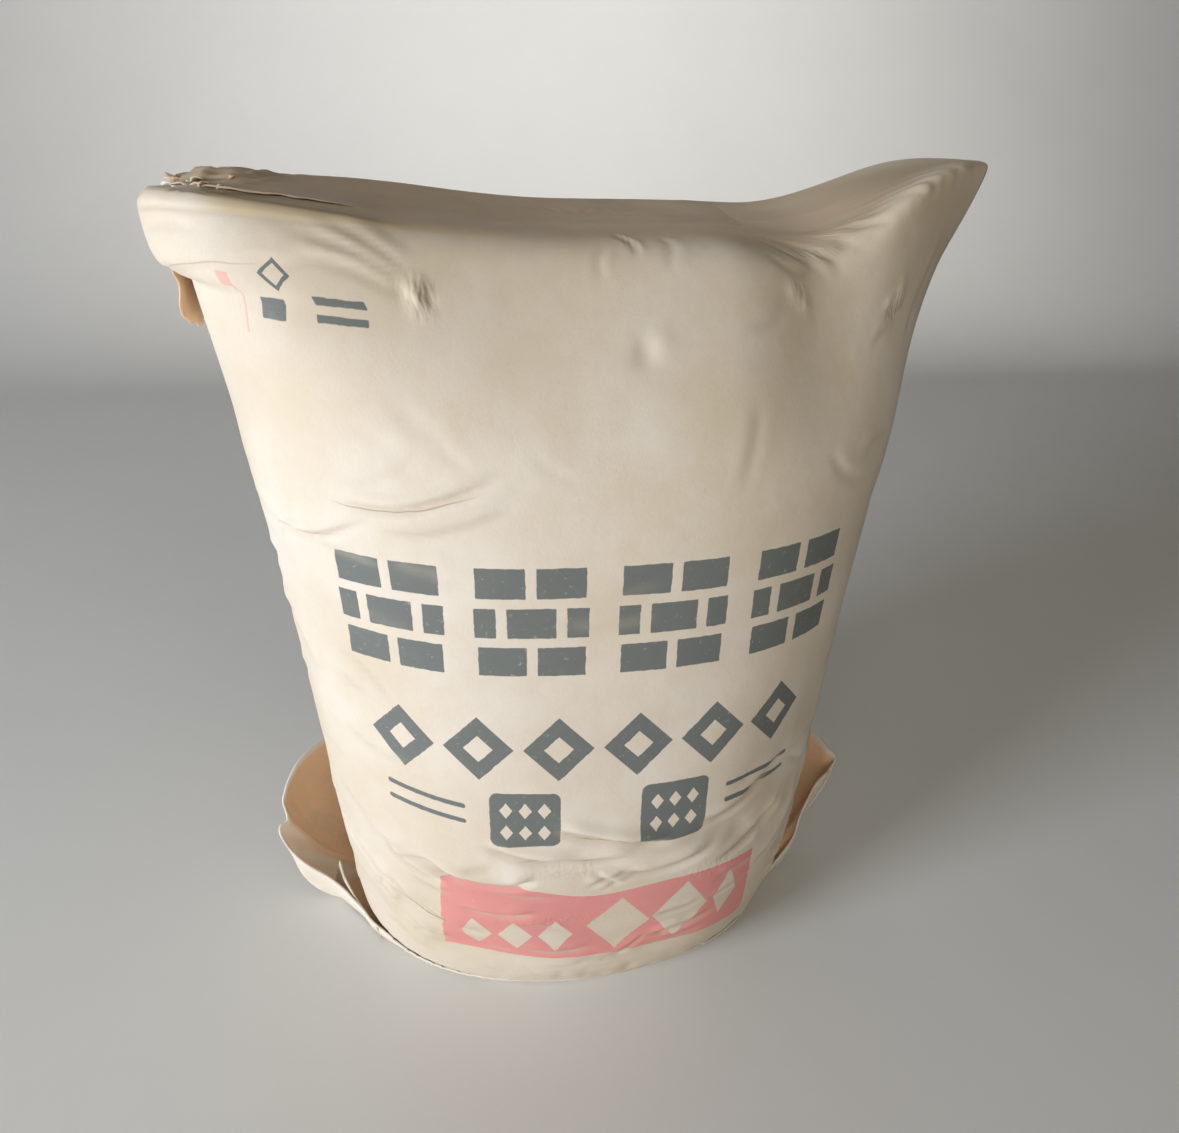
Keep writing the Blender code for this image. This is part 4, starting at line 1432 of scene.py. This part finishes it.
def rules_and_plates(ink):
    """Two dotted plates, with two slanting rules to their left and two level ones to their right."""
    wiring = ink.wiring
    from_pivot = wiring.minus(ink.spot["X"], LEFT_RULES_PIVOT / 1000)
    tilt = wiring.math("MULTIPLY_ADD", from_pivot, LEFT_RULES_SLANT, ink.spot["Y"])
    left_rules = ink.blocks(*LEFT_RULES, where=wiring.joined(ink.spot["X"], tilt))
    dots = ink.diamonds(PLATE_DOT, where=ink.repeated(PLATE_DOT_PLACE, *PLATE_DOT_PITCH))
    plates = ink.without(ink.blocks(*PLATES), wiring.times(dots, ink.blocks(*PLATE_INSIDES)))
    return ink.any_of(left_rules, ink.blocks(*RIGHT_RULES), plates)


def corner_mark(ink):
    ring = ink.without(*(ink.diamonds(place) for place in CORNER_DIAMONDS))
    return ink.any_of(ink.blocks(*CORNER_BLOCKS), ring)


def red_band(ink):
    """The red field: wider at its foot, with a curved top that dips beside its middle."""
    wiring, spot = ink.wiring, ink.spot
    full_height, taper = RED_BAND_TAPER
    spread = wiring.math("MULTIPLY_ADD", wiring.minus(full_height / 1000, spot["Y"]), taper, 1.0)
    tapered = wiring.joined(wiring.math("DIVIDE", spot["X"], spread), spot["Y"])
    lowest, height, reach, rise = (value / 1000 for value in RED_BAND_TOP)
    leftward = wiring.math("DIVIDE", wiring.minus(lowest, spot["X"]), reach)
    top = wiring.math("MULTIPLY_ADD", wiring.times(leftward, leftward), rise, height)
    middle, half_width, depth = (value / 1000 for value in RED_BAND_DIP)
    from_dip = wiring.math("ABSOLUTE", wiring.minus(spot["X"], middle))
    top = wiring.minus(top, wiring.span(from_dip, 0.0, half_width, depth, 0.0))
    below_top = wiring.span(wiring.minus(spot["Y"], top), -0.0002, 0.0002, 1.0, 0.0)
    return wiring.times(ink.blocks(RED_BAND, where=tapered), below_top)


def build_print(wiring, paper):
    """Masks of the grey and the red print: plain blocks, rules and diamonds."""
    ink = Print(wiring, paper)
    grey = ink.any_of(brick_row(ink), lozenge_row(ink), rules_and_plates(ink), corner_mark(ink))
    small = ink.diamonds(SMALL_DIAMOND, where=ink.repeated(SMALL_DIAMOND_PLACE, SMALL_DIAMOND_PITCH))
    small = wiring.times(small, ink.blocks(SMALL_DIAMOND_ROW))
    pale = ink.any_of(small, ink.diamonds(*LARGE_DIAMONDS))
    notes = wiring.times(ink.blocks(*RED_NOTES), RED_NOTES_COVER)
    return grey, ink.any_of(ink.without(red_band(ink), pale), notes)


def build_crease_shadows(wiring, paper):
    """The painted shadow lines of the sharpest creases."""
    crease = crease_shadow_group()
    line = 0.0
    for middle_round, middle_up, reach, slope, bend, width, darkness in CREASE_LINES:
        made = wiring.use(
            crease, Paper=paper, Middle=(middle_round / 1000, middle_up / 1000, 0.0), Reach=reach / 1000,
            Slope=slope, Bend=bend / 1000, Width=width / 1000, Darkness=darkness,
        )
        line = wiring.larger(line, made["Mask"])
    return line


def fine_wrinkles(wiring, paper):
    """Height of the finest wrinkles, which stand where the wrinkled attribute is above 0."""
    streaks = wiring.noise(wiring.vector("MULTIPLY", paper, WRINKLE_STRETCH), *WRINKLE_NOISE)
    return wiring.times(wiring.attribute("wrinkled"), streaks)


def printed_paper(wiring, base, place, paper):
    """The print, worn off on specks and along folds, and painted shade along the folds and in the dark lines
    of their creases.
    """
    fold = wiring.attribute("fold")

    def shaken(scale, reach):
        """The paper coordinates, pushed a little up and down and round by one noise."""
        offset = wiring.minus(wiring.noise(place, scale, 1.0), 0.5)
        return wiring.vector("MULTIPLY_ADD", offset, (-reach, reach, 0.0), paper)

    grey, red = build_print(wiring, shaken(*PRINT_SHAKE))
    # painted shadow lines of the creases
    line = build_crease_shadows(wiring, shaken(*CREASE_SHAKE))
    specks = wiring.span(wiring.noise(place, *WEAR_NOISE), *BARE_SPECKS)
    worn = wiring.larger(specks, wiring.times(wiring.larger(fold, line), WORN_OFF))
    kept = wiring.minus(1.0, worn)
    base = wiring.blend(wiring.times(grey, wiring.times(kept, GREY_COVER)), base, GREY_INK)
    base = wiring.blend(wiring.times(red, wiring.times(kept, RED_COVER)), base, RED_INK)
    # painted shade along the folds and crease lines
    return wiring.blend(wiring.larger(wiring.times(fold, CREASE_SHADE), line), base, PAINTED_CREASE_SHADE)


def shaded_hem(wiring, base, spot, up):
    """A tan band of painted shade on the hem under the end's edge, at the left of the front."""
    foot = wiring.span(spot["X"], *HEM_FOOT)
    hem = wiring.span(up, foot, wiring.plus(foot, HEM_SHARPNESS))
    for part, step in (("X", HEM_LEFT), ("X", HEM_RIGHT), ("Y", HEM_BACK)):
        hem = wiring.times(hem, wiring.span(spot[part], *step))
    # painted shade on the strip under the end's edge
    return wiring.blend(wiring.times(hem, HEM_COVER), base, HEM_SHADE_TAN)


def dusty_and_shaded_end(wiring, base, tone, spot, up):
    """The end's browner paper, partly dust and partly painted shade of its dimly lit top, from an uneven line
    along its edge, lighter at both ears, with painted shade on the horn.
    """
    start = wiring.span(spot["X"], *END_STARTS)
    full = wiring.larger(wiring.span(spot["X"], *END_FULL_LEFT), wiring.span(spot["X"], *END_FULL))
    on_end = wiring.span(wiring.math("MULTIPLY_ADD", tone, 0.004, up), start, full)
    tint = wiring.blend(wiring.span(tone, *CLOUDS), TOP_TAN, TOP_BROWN)
    light = wiring.larger(wiring.span(spot["X"], *END_LIGHT_RIGHT), wiring.span(spot["X"], *END_LIGHT_LEFT))
    tint = wiring.blend(light, tint, CREAM_DUST_AND_SHADE)
    # painted shade on the horn
    tint = wiring.blend(wiring.span(spot["X"], *END_HORN_SHADE), tint, HORN_SHADE_TAN)
    return wiring.blend(on_end, base, tint)


def cream_paper(grain, dust):
    """The sack's own paper, with its print, its folds, its dust, and painted shade in its creases, near its
    top and on its end.
    """
    material, wiring, shader = new_material("cream_paper", rough=0.66, Specular_IOR_Level=0.32)
    place = wiring.place()
    paper = wiring.node("UVMap", uv_map="paper").outputs["UV"]
    spot, up = wiring.parts(place), wiring.parts(paper)["Y"]
    surface = wiring.use(grain, Vector=place, Fibre=0.00005, Crumple=0.0006)
    base = wiring.blend(wiring.span(surface["Tone"], *CLOUDS), CREAM, CREAM_WARM)
    # darker towards the front's top: dust, and painted shade where the front bends back
    near_top = wiring.span(up, *TOP_DUST_AND_SHADE, 0.0, wiring.span(spot["X"], *TOP_DUST_AND_SHADE_LEFT))
    dust_and_shade = wiring.plus(wiring.span(spot["Z"], *SOILED_FOOT), near_top)
    base = wiring.blend(wiring.times(wiring.noise(place, *SOIL_NOISE), dust_and_shade), base, CREAM_DUST_AND_SHADE)
    base = printed_paper(wiring, base, place, paper)
    powder = wiring.use(dust, Vector=place, Amount=0.35)["Mask"]
    base = wiring.blend(wiring.times(powder, DUST_COVER), base, CEMENT)
    base = shaded_hem(wiring, base, spot, up)
    base = dusty_and_shaded_end(wiring, base, surface["Tone"], spot, up)
    finish_surface(wiring, shader, base, wiring.plus(surface["Height"], fine_wrinkles(wiring, paper)))
    return material


def plain_paper(name, tints, grain, dust, amount=0.5):
    """Unprinted paper: clouds of two tints, dust, and cream where the rim attribute is 1."""
    material, wiring, shader = new_material(name, rough=0.72, Specular_IOR_Level=0.28)
    place = wiring.place()
    surface = wiring.use(grain, Vector=place, Fibre=0.00008, Crumple=0.0009)
    base = wiring.blend(wiring.span(surface["Tone"], *CLOUDS), *tints)
    powder = wiring.use(dust, Vector=place, Amount=amount)["Mask"]
    base = wiring.blend(wiring.times(powder, 0.45), base, CEMENT)
    base = wiring.blend(wiring.attribute("rim"), base, CREAM)
    finish_surface(wiring, shader, base, surface["Height"])
    return material


# The studio

WORLD_TINT = (1.0, 0.97, 0.90, 1.0)
WORLD_STRENGTH = 0.06
SACK_MIDDLE = (0.0, 0.0, 0.2)
LIGHTS = (                   # (name, place, size, power, tint, what it is aimed at)
    ("key", (-2.0, -1.05, 0.66), 0.7, 49.0, (0.86, 0.92, 1.0), SACK_MIDDLE),
    ("fill", (-0.70, -1.75, 0.30), 0.9, 9.5, (1.0, 0.88, 0.75), SACK_MIDDLE),
    ("top", (0.10, -1.20, 1.60), 1.2, 4.2, (1.0, 0.94, 0.77), SACK_MIDDLE),
    ("backdrop", (0.30, 1.00, 1.50), 1.8, 24.0, (1.0, 0.98, 0.95), (0.3, 4.0, 1.45)),
)
FLOOR_TINTS = (colour(222, 221, 218), colour(230, 229, 226))
BACKDROP_HALF = 12.0
BACKDROP_END = 2.6          # where the floor ends and the wall stands
BACKDROP_RISE = 5.0
BACKDROP_BEND = 1.6


def build_camera():
    bearing, drop, roll = (math.radians(a) for a in (CAMERA_BEARING, CAMERA_DROP, CAMERA_ROLL))
    ahead = Vector((math.sin(bearing) * math.cos(drop), math.cos(bearing) * math.cos(drop), -math.sin(drop)))
    level = Vector((math.cos(bearing), -math.sin(bearing), 0.0))
    upright = level.cross(ahead)
    right = math.cos(roll) * level + math.sin(roll) * upright
    up = math.cos(roll) * upright - math.sin(roll) * level
    camera = bpy.data.objects.new("camera", bpy.data.cameras.new("camera"))
    camera.data.lens = CAMERA_LENS
    camera.data.sensor_width = 36.0
    camera.data.clip_start = 0.01
    camera.matrix_world = Matrix.Translation(CAMERA_PLACE) @ Matrix((right, up, -ahead)).transposed().to_4x4()
    bpy.context.scene.collection.objects.link(camera)
    bpy.context.scene.camera = camera


def area_light(name, place, size, power, tint, target):
    light = bpy.data.lights.new(name, "AREA")
    light.size = size
    light.energy = power
    light.color = tint
    made = bpy.data.objects.new(name, light)
    made.location = place
    made.rotation_euler = (Vector(target) - Vector(place)).to_track_quat("-Z", "Y").to_euler()
    bpy.context.scene.collection.objects.link(made)


def build_backdrop():
    """A pale floor that bends up into a wall far behind the sack."""
    bm = bmesh.new()
    bmesh.ops.create_grid(bm, x_segments=1, y_segments=1, size=BACKDROP_HALF)
    bmesh.ops.translate(bm, verts=bm.verts, vec=(0.0, BACKDROP_END - BACKDROP_HALF, 0.0))
    far = [edge for edge in bm.edges if all(vert.co.y > 0.0 for vert in edge.verts)]
    raised = bmesh.ops.extrude_edge_only(bm, edges=far)["geom"]
    wall_top = [part for part in raised if isinstance(part, bmesh.types.BMVert)]
    bmesh.ops.translate(bm, verts=wall_top, vec=(0.0, 0.0, BACKDROP_RISE))
    bmesh.ops.bevel(bm, geom=far, offset=BACKDROP_BEND, segments=24, profile=0.5, affect="EDGES", material=-1)
    floor = new_object("floor", bm)
    material, wiring, shader = new_material("pale_floor", rough=0.6)
    wiring.link(wiring.blend(wiring.noise(wiring.place(), 3.0), *FLOOR_TINTS), shader.inputs["Base Color"])
    floor.data.materials.append(material)


def build_studio():
    world = bpy.data.worlds.new("studio")
    bpy.context.scene.world = world
    world.use_nodes = True
    background = world.node_tree.nodes["Background"]
    background.inputs["Color"].default_value = WORLD_TINT
    background.inputs["Strength"].default_value = WORLD_STRENGTH
    for light in LIGHTS:
        area_light(*light)
    build_backdrop()
    bpy.context.scene.view_settings.view_transform = "Standard"


build_camera()
build_studio()
paper_grain = paper_grain_group()
cement_dust = cement_dust_group()

sack = build_sack()
sack.data.materials.append(cream_paper(paper_grain, cement_dust))
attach(sack, "root")
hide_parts("filled_sack")

skin = BVHTree.FromObject(sack, bpy.context.evaluated_depsgraph_get())
cover = build_top_cover(skin)
# the cover's tints hold painted shade of the dim top as well as its dust
cover.data.materials.append(plain_paper("shaded_paper", (TOP_TAN, TOP_BROWN), paper_grain, cement_dust))
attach(cover, "root")
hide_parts("top_cover")

cream_rim = plain_paper("cream_rim", (CREAM, CREAM_WARM), paper_grain, cement_dust)
kraft = plain_paper("kraft_inside", (KRAFT, KRAFT_DARK), paper_grain, cement_dust, amount=0.6)

tray = build_tray()
tray.data.materials.append(cream_rim)
tray.data.materials.append(kraft)
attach(tray, "root")
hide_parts("bottom_cover")

flap = build_flap()
flap.data.materials.append(cream_rim)
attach(flap, "root")

tongue = build_tongue()
tongue.data.materials.append(kraft)
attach(tongue, "root")
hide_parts("valve_tongue")

cream_scraps = build_scraps("cream_scraps", skin, CREAM_SCRAPS)
cream_scraps.data.materials.append(cream_rim)
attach(cream_scraps, "root")

kraft_scraps = build_scraps("kraft_scraps", skin, KRAFT_SCRAPS)
kraft_scraps.data.materials.append(kraft)
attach(kraft_scraps, "root")
